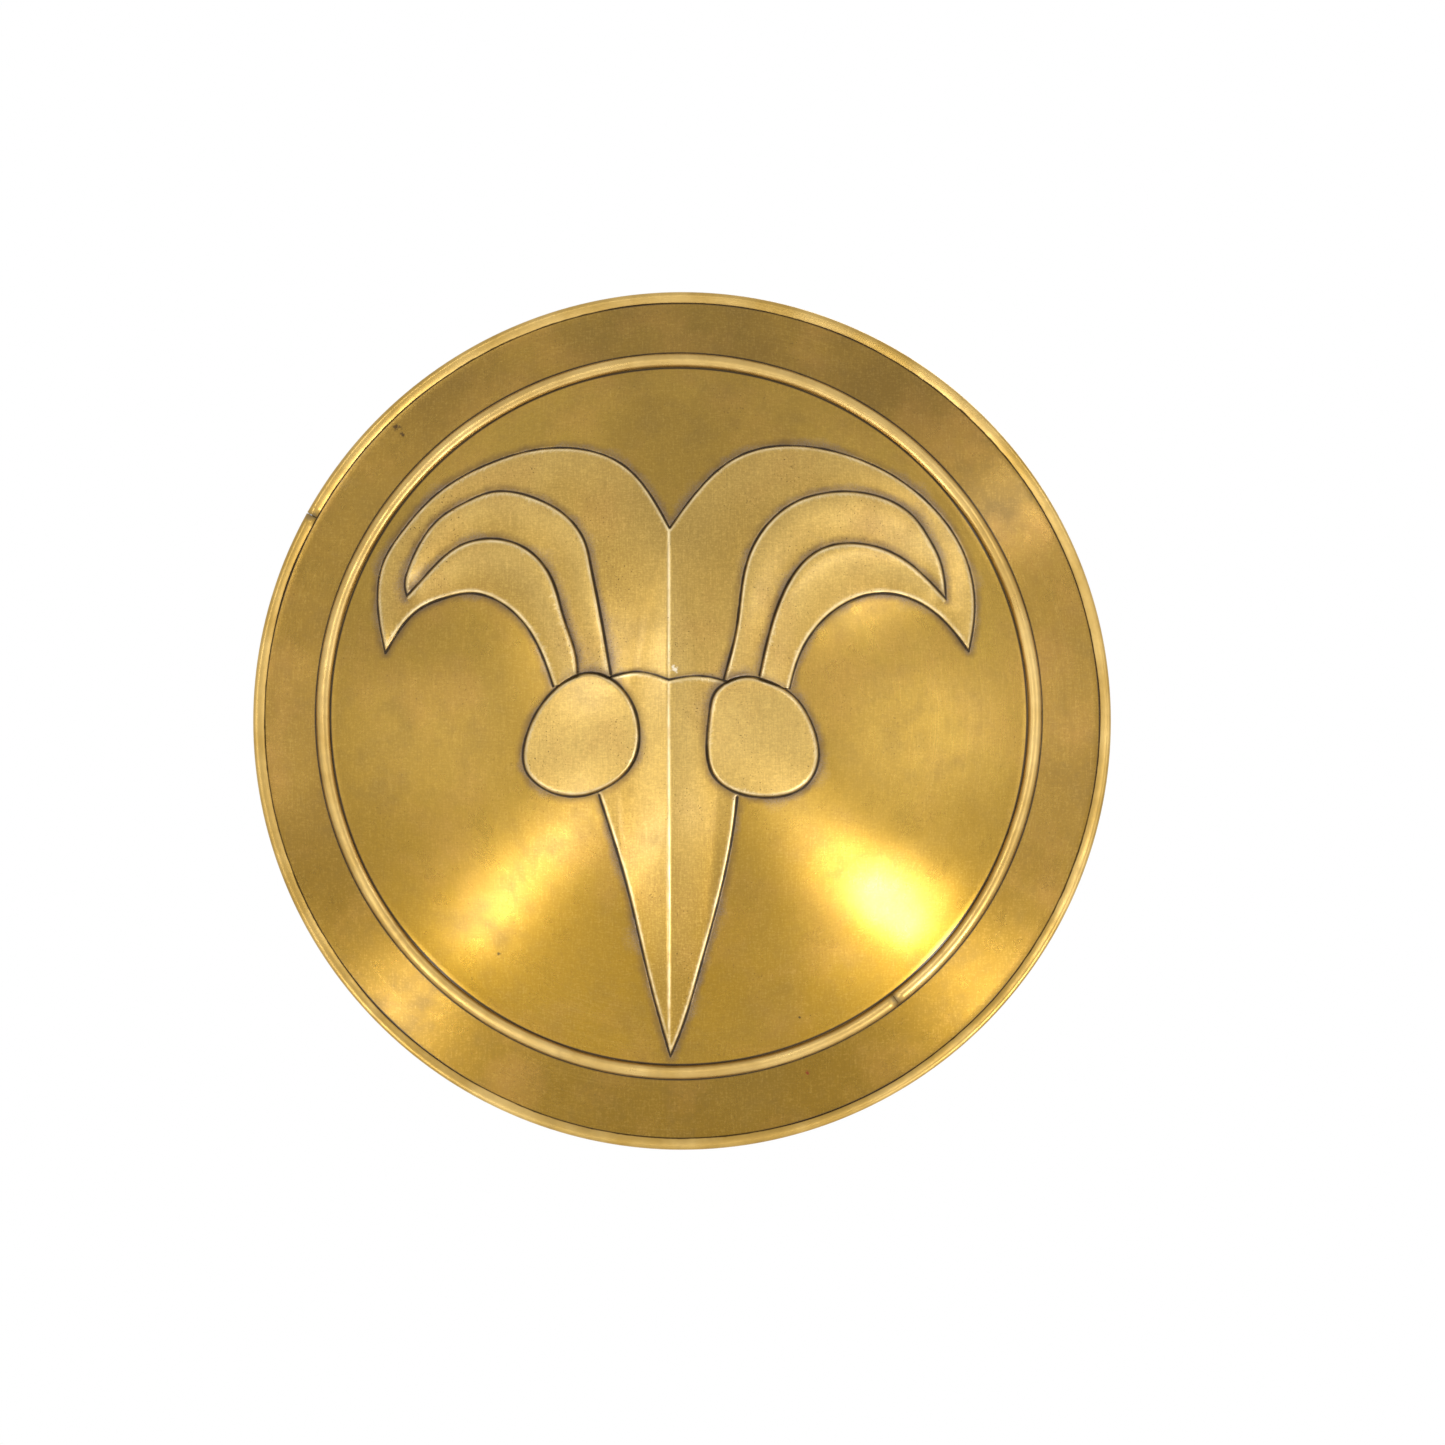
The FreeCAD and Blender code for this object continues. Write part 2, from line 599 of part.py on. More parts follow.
arm_place = behind_dome(size("arm_loop_right") - dome_centre.x, 0)
grip_place = behind_dome(size("grip_left") - dome_centre.x, 0)
hang_place = behind_dome(0, hang_height - dome_centre.z)

# Arm strap: staples, the two straps, buckle, keeper and rivets
lap = leather + size("lap_gap")
staple_high = size("strap_span") / 2
bar_up = staple_high - lap / 2
staple_bar = size("staple_standoff")
staple_half = size("strap_width") / 2 + size("staple_side_gap") + size("staple_radius")
wrap = size("buckle_bar_radius") + 2 * size("running_gap") + leather / 2


def staple(name, high):
    """A brazed staple whose bar carries one end of the strap."""
    points = [Vector(-staple_half, -size("overrun"), high), Vector(-staple_half, staple_bar, high),
              Vector(staple_half, staple_bar, high), Vector(staple_half, -size("overrun"), high)]
    loop = rod(name + "_rod", "sizes.staple_radius", points, [size("staple_bend_radius")] * 2)
    feet = []
    for side, across in (("left", -staple_half), ("right", staple_half)):
        place = Placement(Vector(across, -size("overrun"), high), Rotation(Vector(1, 0, 0), -90))
        feet.append(bar("%s_%s_foot" % (name, side), "sizes.staple_foot_radius",
                        "sizes.staple_foot_height + sizes.overrun", place))
    return common(name, fuse(name + "_whole", [loop] + feet), trim_ball)


arm_staple_upper = staple("arm_staple_upper", bar_up)
arm_staple_lower = staple("arm_staple_lower", -bar_up)

inner_face = size("strap_standoff")
under_line = inner_face + leather / 2
main_line = under_line + lap
lap_plane = (under_line + main_line) / 2
heel_low = -size("buckle_low")
front_low = heel_low - size("buckle_length")
tail_line = main_line + leather + 2 * size("leather_gap")
over_heel = lap_plane + wrap + leather + 2 * size("leather_gap")
bend = size("strap_bend_radius")
kink = wrap
converge = size("lap_convergence")
leg_line = staple_high
flap_line = staple_high - lap
flap_end = staple_bar + size("strap_lap")
spread = staple_bar + kink


def up_down(sign, places):
    """Places given as standoff and height, mirrored to the lower half where the sign is -1."""
    return [Vector(0, out, sign * high) for out, high in places]


staple_fold = [(flap_end, flap_line), (spread + converge, flap_line), (spread, bar_up - wrap),
               (staple_bar - wrap, bar_up - wrap), (staple_bar - wrap, bar_up + wrap), (spread, bar_up + wrap),
               (spread + converge, leg_line)]
fold_bends = [kink, kink, wrap, wrap, kink, kink]

fold_reach = heel_low + kink
short_places = staple_fold + [(main_line, leg_line), (main_line, fold_reach + converge),
                              (lap_plane + wrap, fold_reach), (lap_plane + wrap, heel_low - wrap),
                              (lap_plane - wrap, heel_low - wrap), (lap_plane - wrap, fold_reach),
                              (under_line, fold_reach + converge), (under_line, leg_line - bend - leather)]
short_strip = strip("short_strip", up_down(1, short_places),
                    fold_bends + [bend, kink, kink, wrap, wrap, kink, kink],
                    "sizes.strap_width / 2", leather)
tongue_room = block("tongue_room",
                    (-size("fold_slot_width") / 2, lap_plane - wrap - leather, heel_low - wrap - leather),
                    (size("fold_slot_width") / 2, lap_plane + wrap + leather,
                     heel_low + size("tongue_eye_radius") + size("leather_gap")))
strap_short = cut("strap_short", short_strip, tongue_room)

crossing = heel_low - size("slot_length") / 2 + size("leather_gap")
rise_start = front_low + size("buckle_bar_radius") + leather
fall_start = heel_low + converge / 2
fall_end = fall_start + converge + converge / 2
tail_end = size("strap_tail") + heel_low
long_places = staple_fold + [(under_line, leg_line), (under_line, -rise_start),
                             (over_heel, converge / 4 - heel_low),
                             (over_heel, -fall_start), (tail_line, -fall_end), (tail_line, -tail_end)]
long_strip = strip("long_strip", up_down(-1, long_places),
                   fold_bends + [bend, converge, converge / 4, converge, converge],
                   "sizes.strap_width / 2", leather)


def strap_slots():
    """Oblong adjusting holes, one of them round the tongue."""
    slots = []
    half = size("slot_width") / 2
    for step in range(-1, 3):
        middle = crossing + step * size("slot_spacing")
        low = (-half, inner_face - leather, middle - size("slot_length") / 2)
        high = (half, over_heel + leather, middle + size("slot_length") / 2)
        slots.append(block("adjusting_slot_%d" % (step + 2), low, high))
    return fuse("adjusting_slots", slots)


def tail_corners():
    """The two clipped corners of the strap's free end."""
    wide = size("strap_width") / 2
    clip = size("tail_corner")
    pieces = []
    for side, sign in (("left", -1), ("right", 1)):
        corners = [(wide, tail_end - 2 * clip), (wide - clip, tail_end), (wide - clip, tail_end + clip),
                   (wide + clip, tail_end + clip), (wide + clip, tail_end - 2 * clip)]
        places = [Vector(sign * across, inner_face, high) for across, high in corners]
        line = add("Part::Feature", "tail_%s_line" % side, Shape=Part.makePolygon(places + places[:1]))
        pieces.append(add("Part::Extrusion", "tail_%s" % side, {"LengthFwd": "sizes.strap_standoff"}, Base=line,
                          DirMode="Custom", Dir=Vector(0, 1, 0), Solid=True))
    return pieces


strap_long = cut("strap_long", long_strip, fuse("strap_openings", [strap_slots()] + tail_corners()))

buckle_half = size("strap_width") / 2 + size("buckle_side_gap") + size("buckle_bar_radius")
front_line = lap_plane + size("buckle_bar_radius") + size("leather_gap")
buckle_corners = [Vector(buckle_half, lap_plane, heel_low), Vector(buckle_half, front_line, front_low),
                  Vector(-buckle_half, front_line, front_low), Vector(-buckle_half, lap_plane, heel_low)]
heel_middle = [Vector(0, lap_plane, heel_low)]
buckle_frame = rod("buckle_frame", "sizes.buckle_bar_radius", heel_middle + buckle_corners + heel_middle,
                   [size("buckle_bend_radius")] * 4)


def tongue():
    """The tongue: an eye that turns on the buckle's rear bar, and a bent shank that rests on the front bar."""
    shank_radius = size("tongue_radius")
    rest_line = front_line + size("buckle_bar_radius") + shank_radius + size("contact_gap")
    reach = size("tongue_eye_radius") - shank_radius
    knee = front_low + size("buckle_bar_radius") + 2 * leather
    points = [Vector(0, lap_plane + reach / 2, heel_low - reach), Vector(0, rest_line, knee),
              Vector(0, rest_line, front_low - size("tongue_overhang"))]
    shank = rod("tongue_shank", "sizes.tongue_radius", points, [leather])
    across = Rotation(Vector(0, 1, 0), 90)
    start = Vector(-size("tongue_eye_width") / 2, lap_plane, heel_low)
    eye = bar("tongue_eye", "sizes.tongue_eye_radius", "sizes.tongue_eye_width", Placement(start, across))
    start = Vector(-size("tongue_eye_width"), lap_plane, heel_low)
    bore = bar("tongue_bore", "sizes.buckle_bar_radius + sizes.running_gap", "2 * sizes.tongue_eye_width",
               Placement(start, across))
    return cut("buckle_tongue", fuse("tongue_whole", [shank, eye]), bore)


buckle_tongue = tongue()

keeper_inside = (-size("strap_width") / 2 - size("leather_gap"), inner_face - size("leather_gap"),
                 size("keeper_low"))
keeper_top = tail_line + leather / 2 + size("leather_gap")
wall = size("keeper_thickness")
keeper_outer = block("keeper_outer",
                     (keeper_inside[0] - wall, keeper_inside[1] - wall, keeper_inside[2]),
                     (-keeper_inside[0] + wall, keeper_top + wall, keeper_inside[2] + size("keeper_width")))
keeper_inner = block("keeper_inner",
                     (keeper_inside[0], keeper_inside[1], keeper_inside[2] - size("overrun")),
                     (-keeper_inside[0], keeper_top, keeper_inside[2] + size("keeper_width") + size("overrun")))
strap_keeper = cut("strap_keeper", keeper_outer, keeper_inner)


def riveted_fold(name, sign):
    """Two copper rivets and their burrs through the folded end of a strap, and the strap with its holes."""
    rivets = []
    burrs = []
    through = "2 * sizes.strap_thickness + sizes.lap_gap"
    hole_rule = "sizes.rivet_radius + sizes.contact_gap"
    for side, across in (("left", -1), ("right", 1)):
        rivet = turned("%s_%s_rivet" % (name, side),
                       [("0", "-sizes.rivet_head_height"), ("sizes.rivet_head_radius", "-sizes.rivet_head_edge"),
                        ("sizes.rivet_head_radius", "0"), ("sizes.rivet_radius", "0"),
                        ("sizes.rivet_radius", through + " + sizes.burr_height"),
                        ("0", through + " + sizes.burr_height + sizes.burr_edge")])
        burr = turned("%s_%s_burr" % (name, side),
                      [(hole_rule, through), ("sizes.rivet_head_radius", through),
                       ("sizes.rivet_head_radius", through + " + sizes.burr_edge"),
                       (hole_rule, through + " + sizes.burr_height")])
        spot = Vector(across * size("rivet_spacing") / 2, spread + size("rivet_standoff"),
                      sign * (leg_line + leather / 2))
        place = Placement(spot, Rotation(Vector(0, 0, 1), Vector(0, 0, -sign)))
        rivet.Placement = place
        burr.Placement = place
        rivets.append(rivet)
        burrs.append(burr)
    return rivets, burrs


def holed(name, strap, rivets):
    """A strap with the holes that its rivets fill."""
    holes = []
    for rivet in rivets:
        hole = bar(rivet.Name + "_hole", "sizes.rivet_radius + sizes.contact_gap", "4 * sizes.strap_thickness",
                   rivet.Placement.multiply(Placement(Vector(0, 0, -leather), Rotation())))
        holes.append(hole)
    return cut(name, strap, fuse(name + "_holes", holes))


upper_rivets, upper_burrs = riveted_fold("upper", 1)
lower_rivets, lower_burrs = riveted_fold("lower", -1)
strap_short = holed("short_riveted", strap_short, upper_rivets)
strap_long = holed("long_riveted", strap_long, lower_rivets)


def set_of(name, bodies):
    """Loose solids that share one node."""
    return add("Part::Compound", name, Links=bodies)


# Hand grip: two brazed eyes, a steel bail that swings in them, and its wooden, leather-covered handle
eye_middle = size("grip_pin_span") / 2
axis_out = size("grip_axis_height")


def grip_eye(name, sign):
    body = doc.addObject("PartDesign::Body", name + "_lug")
    sketch = corner_sketch(body, name + "_outline", "XY_Plane", [
        ("-sizes.eye_foot_width / 2", "-sizes.overrun"), ("sizes.eye_foot_width / 2", "-sizes.overrun"),
        ("sizes.eye_foot_width / 2", "sizes.eye_shoulder_height"),
        ("sizes.eye_radius", "sizes.grip_axis_height"), ("-sizes.eye_radius", "sizes.grip_axis_height"),
        ("-sizes.eye_foot_width / 2", "sizes.eye_shoulder_height")])
    pad = body.newObject("PartDesign::Pad", name + "_pad")
    pad.Profile = sketch
    pad.setExpression("Length", "sizes.eye_thickness")
    body.Tip = pad
    low = Vector(0, 0, sign * eye_middle - size("eye_thickness") / 2)
    body.Placement = Placement(low, Rotation())
    knob = bar(name + "_knob", "sizes.eye_radius", "sizes.eye_thickness",
               Placement(low + Vector(0, axis_out, 0), Rotation()))
    bore = bar(name + "_bore", "sizes.grip_rod_radius + sizes.running_gap",
               "sizes.eye_thickness + 2 * sizes.overrun",
               Placement(low + Vector(0, axis_out, -size("overrun")), Rotation()))
    seated = common(name + "_seated", fuse(name + "_whole", [body, knob]), trim_ball)
    return cut(name, seated, bore)


grip_eye_upper = grip_eye("grip_eye_upper", 1)
grip_eye_lower = grip_eye("grip_eye_lower", -1)

leg_high = size("grip_pin_span") / 2 - size("grip_leg_inset")
bar_out = axis_out + size("grip_throw")
pin_end = eye_middle + size("eye_thickness") / 2 + size("end_gap")
bail_points = [Vector(0, axis_out, pin_end), Vector(0, axis_out, leg_high), Vector(0, bar_out, leg_high),
               Vector(0, bar_out, -leg_high), Vector(0, axis_out, -leg_high), Vector(0, axis_out, -pin_end)]
pin_bend = size("grip_rod_radius") + size("end_gap")
bail_rod = rod("bail_rod", "sizes.grip_rod_radius", bail_points,
               [pin_bend, size("grip_bend_radius"), size("grip_bend_radius"), pin_bend])
pin_heads = []
for sign in (1, -1):
    pin_heads.append(bar("pin_head_%s" % ("upper" if sign > 0 else "lower"), "sizes.pin_head_radius",
                         "sizes.pin_head_height",
                         Placement(Vector(0, axis_out, sign * pin_end),
                                   Rotation(Vector(0, 0, 1), Vector(0, 0, sign)))))
grip_bail = fuse("grip_bail", [bail_rod] + pin_heads)

handle_place = Placement(Vector(0, bar_out, 0), Rotation())
half_grip = "(sizes.grip_pin_span / 2 - sizes.grip_leg_inset - sizes.grip_bend_radius - sizes.handle_end_gap)"
bore_rule = "sizes.grip_rod_radius + sizes.contact_gap"
grip_core = turned("grip_core", [
    (bore_rule, "-" + half_grip), ("sizes.core_radius", "-" + half_grip),
    ("sizes.core_radius + sizes.core_swell", "-%s / 3" % half_grip),
    ("sizes.core_radius + sizes.core_swell", "%s / 3" % half_grip),
    ("sizes.core_radius", half_grip), (bore_rule, half_grip)])
cover_half = "(%s - sizes.ferrule_length)" % half_grip
fitted_end = ("sizes.core_radius + sizes.contact_gap + 3 * sizes.core_swell * sizes.ferrule_length / (2 * %s)"
              % half_grip)
fitted_middle = "sizes.core_radius + sizes.contact_gap + sizes.core_swell"
covered_middle = "sizes.core_radius + sizes.core_swell + sizes.wrap_thickness"
grip_wrap = turned("grip_wrap", [
    (fitted_end, "-" + cover_half), ("sizes.core_radius + sizes.wrap_thickness", "-" + cover_half),
    (covered_middle, "-%s / 3" % half_grip), (covered_middle, "%s / 3" % half_grip),
    ("sizes.core_radius + sizes.wrap_thickness", cover_half), (fitted_end, cover_half),
    (fitted_middle, "%s / 3" % half_grip), (fitted_middle, "-%s / 3" % half_grip)])


def ferrule(name, sign):
    """A brass cap pressed on one end of the handle."""
    inner = fitted_end
    outer = inner + " + sizes.ferrule_thickness"
    start = "%s + sizes.contact_gap" % cover_half
    end = half_grip + " + sizes.contact_gap"
    cap = end + " + sizes.ferrule_thickness"
    body = turned(name, [(inner, start), (outer, start), (outer, end), ("sizes.core_radius", cap),
                         (bore_rule, cap), (bore_rule, end), (inner, end)])
    turn = Rotation(Vector(0, 0, 1), Vector(0, 0, sign))
    body.Placement = handle_place.multiply(Placement(Vector(0, 0, 0), turn))
    return body


grip_ferrule_upper = ferrule("grip_ferrule_upper", 1)
grip_ferrule_lower = ferrule("grip_ferrule_lower", -1)
grip_core.Placement = handle_place
grip_wrap.Placement = handle_place

# Hanging ring and the brass clip that holds it
clip_half = size("clip_thickness") / 2
ring_out = size("ring_wire_radius") + size("ring_play")
crown = ring_out + clip_half
saddle = [(clip_half, -crown - size("clip_foot_length")), (clip_half, -crown), (ring_out + crown, -crown),
          (ring_out + crown, crown), (clip_half, crown), (clip_half, crown + size("clip_foot_length"))]
clip_strip = strip("clip_strip", [Vector(0, out, high) for out, high in saddle],
                   [size("clip_thickness"), crown, crown, size("clip_thickness")], "sizes.clip_width / 2",
                   size("clip_thickness"))
hang_clip = common("hang_clip", clip_strip, trim_ball)
ring_lean = math.degrees(math.asin((hang_height - dome_centre.z) / back_radius))
hang_ring = add("Part::Torus", "hang_ring", {"Radius1": "sizes.ring_radius", "Radius2": "sizes.ring_wire_radius"},
                Placement=Placement(Vector(0, ring_out + math.sin(math.radians(ring_lean)) * size("ring_radius"),
                                           -math.cos(math.radians(ring_lean)) * size("ring_radius")),
                                    Rotation(Vector(1, 0, 0), 90 + ring_lean)))

parts = {
    "face_sheet": (face_sheet, None),
    "bead_ring": (bead_ring, None),
    "rim_binding": (rim_binding, None),
    "rim_wire": (rim_wire, None),
    "arm_staple_upper": (arm_staple_upper, arm_place),
    "arm_staple_lower": (arm_staple_lower, arm_place),
    "strap_short": (strap_short, arm_place),
    "strap_long": (strap_long, arm_place),
    "strap_keeper": (strap_keeper, arm_place),
    "buckle_frame": (buckle_frame, arm_place),
    "buckle_tongue": (buckle_tongue, arm_place),
    "upper_rivets": (set_of("upper_rivets", upper_rivets), arm_place),
    "upper_burrs": (set_of("upper_burrs", upper_burrs), arm_place),
    "lower_rivets": (set_of("lower_rivets", lower_rivets), arm_place),
    "lower_burrs": (set_of("lower_burrs", lower_burrs), arm_place),
    "grip_eye_upper": (grip_eye_upper, grip_place),
    "grip_eye_lower": (grip_eye_lower, grip_place),
    "grip_bail": (grip_bail, grip_place),
    "grip_core": (grip_core, grip_place),
    "grip_wrap": (grip_wrap, grip_place),
    "grip_ferrule_upper": (grip_ferrule_upper, grip_place),
    "grip_ferrule_lower": (grip_ferrule_lower, grip_place),
    "hang_clip": (hang_clip, hang_place),
    "hang_ring": (hang_ring, hang_place),
}

doc.recompute()
for node, (thing, place) in parts.items():
    thing.Label = node
    if place:
        thing.Placement = place.multiply(thing.Placement)
doc.recompute()

broken = [o.Name for o in doc.Objects if "Invalid" in o.State or "Error" in o.State]
for node, (thing, place) in parts.items():
    if thing.Shape.isNull() or not thing.Shape.isValid() or not thing.Shape.Solids:
        broken.append(node)
if broken:
    raise RuntimeError("not built: " + ", ".join(broken))

os.makedirs("parts", exist_ok=True)
for node, (thing, place) in parts.items():
    thing.Shape.exportStep("parts/%s.step" % node)
    box = thing.Shape.BoundBox
    print("%-20s solids %d  volume %9.1f  x %7.1f %7.1f  y %6.1f %6.1f  z %7.1f %7.1f" % (
        node, len(thing.Shape.Solids), thing.Shape.Volume, box.XMin, box.XMax, box.YMin, box.YMax,
        box.ZMin, box.ZMax))
for name, place in (("arm", arm_place), ("grip", grip_place), ("hang", hang_place)):
    print("%s fittings stand at %s, turned %.2f degrees" % (name, place.Base, math.degrees(place.Rotation.Angle)))
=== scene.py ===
import math
import bmesh
import bpy
import numpy as np
from mathutils import Matrix, Vector, kdtree


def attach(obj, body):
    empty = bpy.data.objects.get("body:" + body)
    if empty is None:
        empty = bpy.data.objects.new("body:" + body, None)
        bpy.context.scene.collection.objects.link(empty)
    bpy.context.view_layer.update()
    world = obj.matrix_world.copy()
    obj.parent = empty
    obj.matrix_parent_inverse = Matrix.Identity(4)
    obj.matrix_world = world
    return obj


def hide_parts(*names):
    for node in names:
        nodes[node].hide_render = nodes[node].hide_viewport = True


# A round brass shield with a chased horned head. Metres, front towards -Y, bearer towards +Y.

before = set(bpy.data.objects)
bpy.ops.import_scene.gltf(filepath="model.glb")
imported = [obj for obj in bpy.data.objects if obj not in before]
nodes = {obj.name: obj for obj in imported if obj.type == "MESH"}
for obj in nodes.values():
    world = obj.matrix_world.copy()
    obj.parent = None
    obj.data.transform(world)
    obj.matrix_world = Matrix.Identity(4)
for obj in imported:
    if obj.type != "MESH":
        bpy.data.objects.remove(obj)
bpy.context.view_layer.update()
print("frame loaded, nodes:", len(nodes))


# Links a socket to an input, or sets the input to a value
def feed(tree, socket, value):
    if isinstance(value, bpy.types.NodeSocket):
        tree.links.new(value, socket)
    elif socket.type == "RGBA":
        socket.default_value = (*value, 1.0)[:4]
    else:
        socket.default_value = value


def put(tree, kind, links=None, **settings):
    node = tree.nodes.new("ShaderNode" + kind)
    for name, value in settings.items():
        setattr(node, name, value)
    for name, value in (links or {}).items():
        feed(tree, node.inputs[name], value)
    return node


def maths(tree, operation, a, b=None, clamp=False):
    links = {0: a} if b is None else {0: a, 1: b}
    return put(tree, "Math", links, operation=operation, use_clamp=clamp).outputs[0]


def times(tree, a, b, clamp=False):
    return maths(tree, "MULTIPLY", a, b, clamp)


def plus(tree, a, b, clamp=False):
    return maths(tree, "ADD", a, b, clamp)


def larger(tree, a, b, clamp=False):
    return maths(tree, "MAXIMUM", a, b, clamp)


# Value from low..high mapped to toLow..toHigh and held at both ends
def stretch(tree, value, low, high, toLow=0.0, toHigh=1.0, smooth=False):
    kind = "SMOOTHSTEP" if smooth else "LINEAR"
    ends = {"Value": value, "From Min": low, "From Max": high, "To Min": toLow, "To Max": toHigh}
    return put(tree, "MapRange", ends, interpolation_type=kind, clamp=True).outputs["Result"]


def blendColour(tree, share, a, b):
    return put(tree, "Mix", {0: share, 6: a, 7: b}, data_type="RGBA", blend_type="MIX").outputs[2]


def noise(tree, where, scale, detail=3.0, rough=0.55):
    links = {"Vector": where, "Scale": scale, "Detail": detail, "Roughness": rough}
    return put(tree, "TexNoise", links).outputs["Fac"]


# Noise of one scale, mapped from low..high to toLow..toHigh
def patchy(tree, where, scale, low, high, toLow=0.0, toHigh=1.0, detail=3.0, rough=0.55):
    return stretch(tree, noise(tree, where, scale, detail, rough), low, high, toLow, toHigh)


def scaled(tree, where, factors):
    return put(tree, "VectorMath", {0: where, 1: factors}, operation="MULTIPLY").outputs[0]


# Places from a centre, pressed flat to the plane of the rim
def flatFrom(tree, where, centre):
    apart = put(tree, "VectorMath", {0: where, 1: centre}, operation="SUBTRACT").outputs[0]
    return scaled(tree, apart, (1, 0, 1))


def lengthOf(tree, vector):
    return put(tree, "VectorMath", {0: vector}, operation="LENGTH").outputs["Value"]


# A node group with its named sockets, its input node and its output node
def newGroup(name, ins, outs):
    group = bpy.data.node_groups.new(name, "ShaderNodeTree")
    for label, kind, value in ins:
        socket = group.interface.new_socket(label, in_out="INPUT", socket_type="NodeSocket" + kind)
        if value is not None:
            socket.default_value = value
    for label, kind in outs:
        group.interface.new_socket(label, in_out="OUTPUT", socket_type="NodeSocket" + kind)
    return group, group.nodes.new("NodeGroupInput"), group.nodes.new("NodeGroupOutput")


def useGroup(tree, group, links):
    return put(tree, "Group", links, node_tree=group)


# A material with one Principled shader, its constants set on the shader's own sockets
def newMaterial(name, **shader):
    mat = bpy.data.materials.new(name)
    mat.use_nodes = True
    tree = mat.node_tree
    principled = tree.nodes["Principled BSDF"]
    for label, value in shader.items():
        principled.inputs[label.replace("_", " ")].default_value = value
    where = put(tree, "TexCoord").outputs["Object"]
    return mat, tree, principled, where


# Fine relief from a height between 0 and 1, whose full depth is given in metres
def bump(tree, principled, height, depth):
    node = put(tree, "Bump", {"Height": height, "Strength": 1.0, "Distance": depth})
    tree.links.new(node.outputs["Normal"], principled.inputs["Normal"])


# A finished mesh becomes a piece that rides on a body and may stand for CAD nodes
def finishPiece(bm, name, body, material, slotName, *replaced):
    mesh = bpy.data.meshes.new(name)
    bm.to_mesh(mesh)
    bm.free()
    for polygon in mesh.polygons:
        polygon.use_smooth = True
    mesh.materials.append(material)
    piece = bpy.data.objects.new(name, mesh)
    bpy.context.scene.collection.objects.link(piece)
    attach(piece, body)
    if replaced:
        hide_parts(*replaced)
    print("piece", name, "triangles", sum(len(p.vertices) - 2 for p in mesh.polygons))
    return piece


studio = {
    "cameraAway": 3.0,
    "lens": 105.08,
    "sensor": 36,
    "shiftRight": 0.028,
    "shiftUp": -0.0011,
    "diffuseSky": 0.70,
    "plainSky": 1.0,
    "floorDrop": 0.95,
    "floorSize": 4.0,
    "floorColour": (0.80, 0.80, 0.80),
    "floorGlow": 0.42,
    "floorRough": 0.9,
    # each panel: place, width, height, power
    "panels": [((-0.80, -2.76, 0.52), 0.66, 0.66, 8.2), ((0.10, -2.88, -0.10), 0.7, 0.9, 1.1),
               ((0.9, 2.2, 1.3), 1.2, 1.2, 14.0)],
    # each strip lamp: azimuth on the disc, angle off the camera's line, length, width, power
    "strips": [(33, 44, 0.60, 0.16, 1.35), (226, 41, 1.03, 0.14, 3.6), (227, 50, 0.40, 0.16, 0.6),
               (318.5, 41, 0.95, 0.13, 1.4), (318.5, 52, 0.40, 0.16, 5.6), (184, 46, 0.7, 0.5, 0.8),
               (356, 46, 0.7, 0.5, 1.2)],
    "stripAway": 1.5,
}


def addLamp(name, place, target, width, length, power, up):
    # the lamp faces its target, and its long side lies towards up
    data = bpy.data.lights.new(name, "AREA")
    data.shape = "RECTANGLE"
    data.size = width
    data.size_y = length
    data.energy = power
    lamp = bpy.data.objects.new(name, data)
    bpy.context.scene.collection.objects.link(lamp)
    ahead = (Vector(target) - Vector(place)).normalized()
    side = ahead.cross(Vector(up)).normalized()
    top = side.cross(ahead)
    turn = Matrix((side, top, -ahead)).transposed().to_4x4()
    lamp.matrix_world = Matrix.Translation(place) @ turn
    return lamp


def makeStudio():
    scene = bpy.context.scene
    scene.view_settings.view_transform = "Standard"
    camData = bpy.data.cameras.new("camera")
    camData.lens = studio["lens"]
    camData.sensor_width = studio["sensor"]
    camData.shift_x = studio["shiftRight"]
    camData.shift_y = studio["shiftUp"]
    cam = bpy.data.objects.new("camera", camData)
    cam.location = (0, -studio["cameraAway"], 0)
    cam.rotation_euler = (math.radians(90), 0, 0)
    scene.collection.objects.link(cam)
    scene.camera = cam

    for i, (place, width, high, power) in enumerate(studio["panels"]):
        addLamp("panel%d" % i, place, (0, 0, 0), width, high, power, (0, 0, 1))
    for i, (azimuth, polar, length, width, power) in enumerate(studio["strips"]):
        a = math.radians(azimuth)
        p = math.radians(polar)
        outward = Vector((math.cos(a), 0, math.sin(a)))
        place = (outward * math.sin(p) + Vector((0, -math.cos(p), 0))) * studio["stripAway"]
        addLamp("strip%d" % i, place, (0, 0, 0), width, length, power, outward)

    world = bpy.data.worlds.new("paleSky")
    scene.world = world
    world.use_nodes = True
    tree = world.node_tree
    tree.nodes.clear()
    path = put(tree, "LightPath")
    seen = larger(tree, path.outputs["Is Camera Ray"], path.outputs["Is Glossy Ray"])
    clear = larger(tree, seen, path.outputs["Is Transmission Ray"])
    level = stretch(tree, clear, 0.0, 1.0, studio["diffuseSky"], studio["plainSky"])
    sky = put(tree, "Background", {"Color": (1, 1, 1), "Strength": level})
    put(tree, "OutputWorld", {"Surface": sky.outputs[0]})


makeStudio()
print("camera and lamps ready")

# Steps of noise between which each effect starts and ends, and how strong it gets
agedSteps = {
    "rubbed": (0.42, 0.66), "dusty": (0.48, 0.72), "specks": (0.60, 0.74), "grains": (0.45, 0.62),
    "middleScale": 7.0, "grainScale": 0.35, "leastSpecks": 0.12,
    "uneven": (0.3, 0.7, -0.05, 0.07), "dull": 0.25, "fineHeight": 0.4, "middleHeight": 0.6,
}


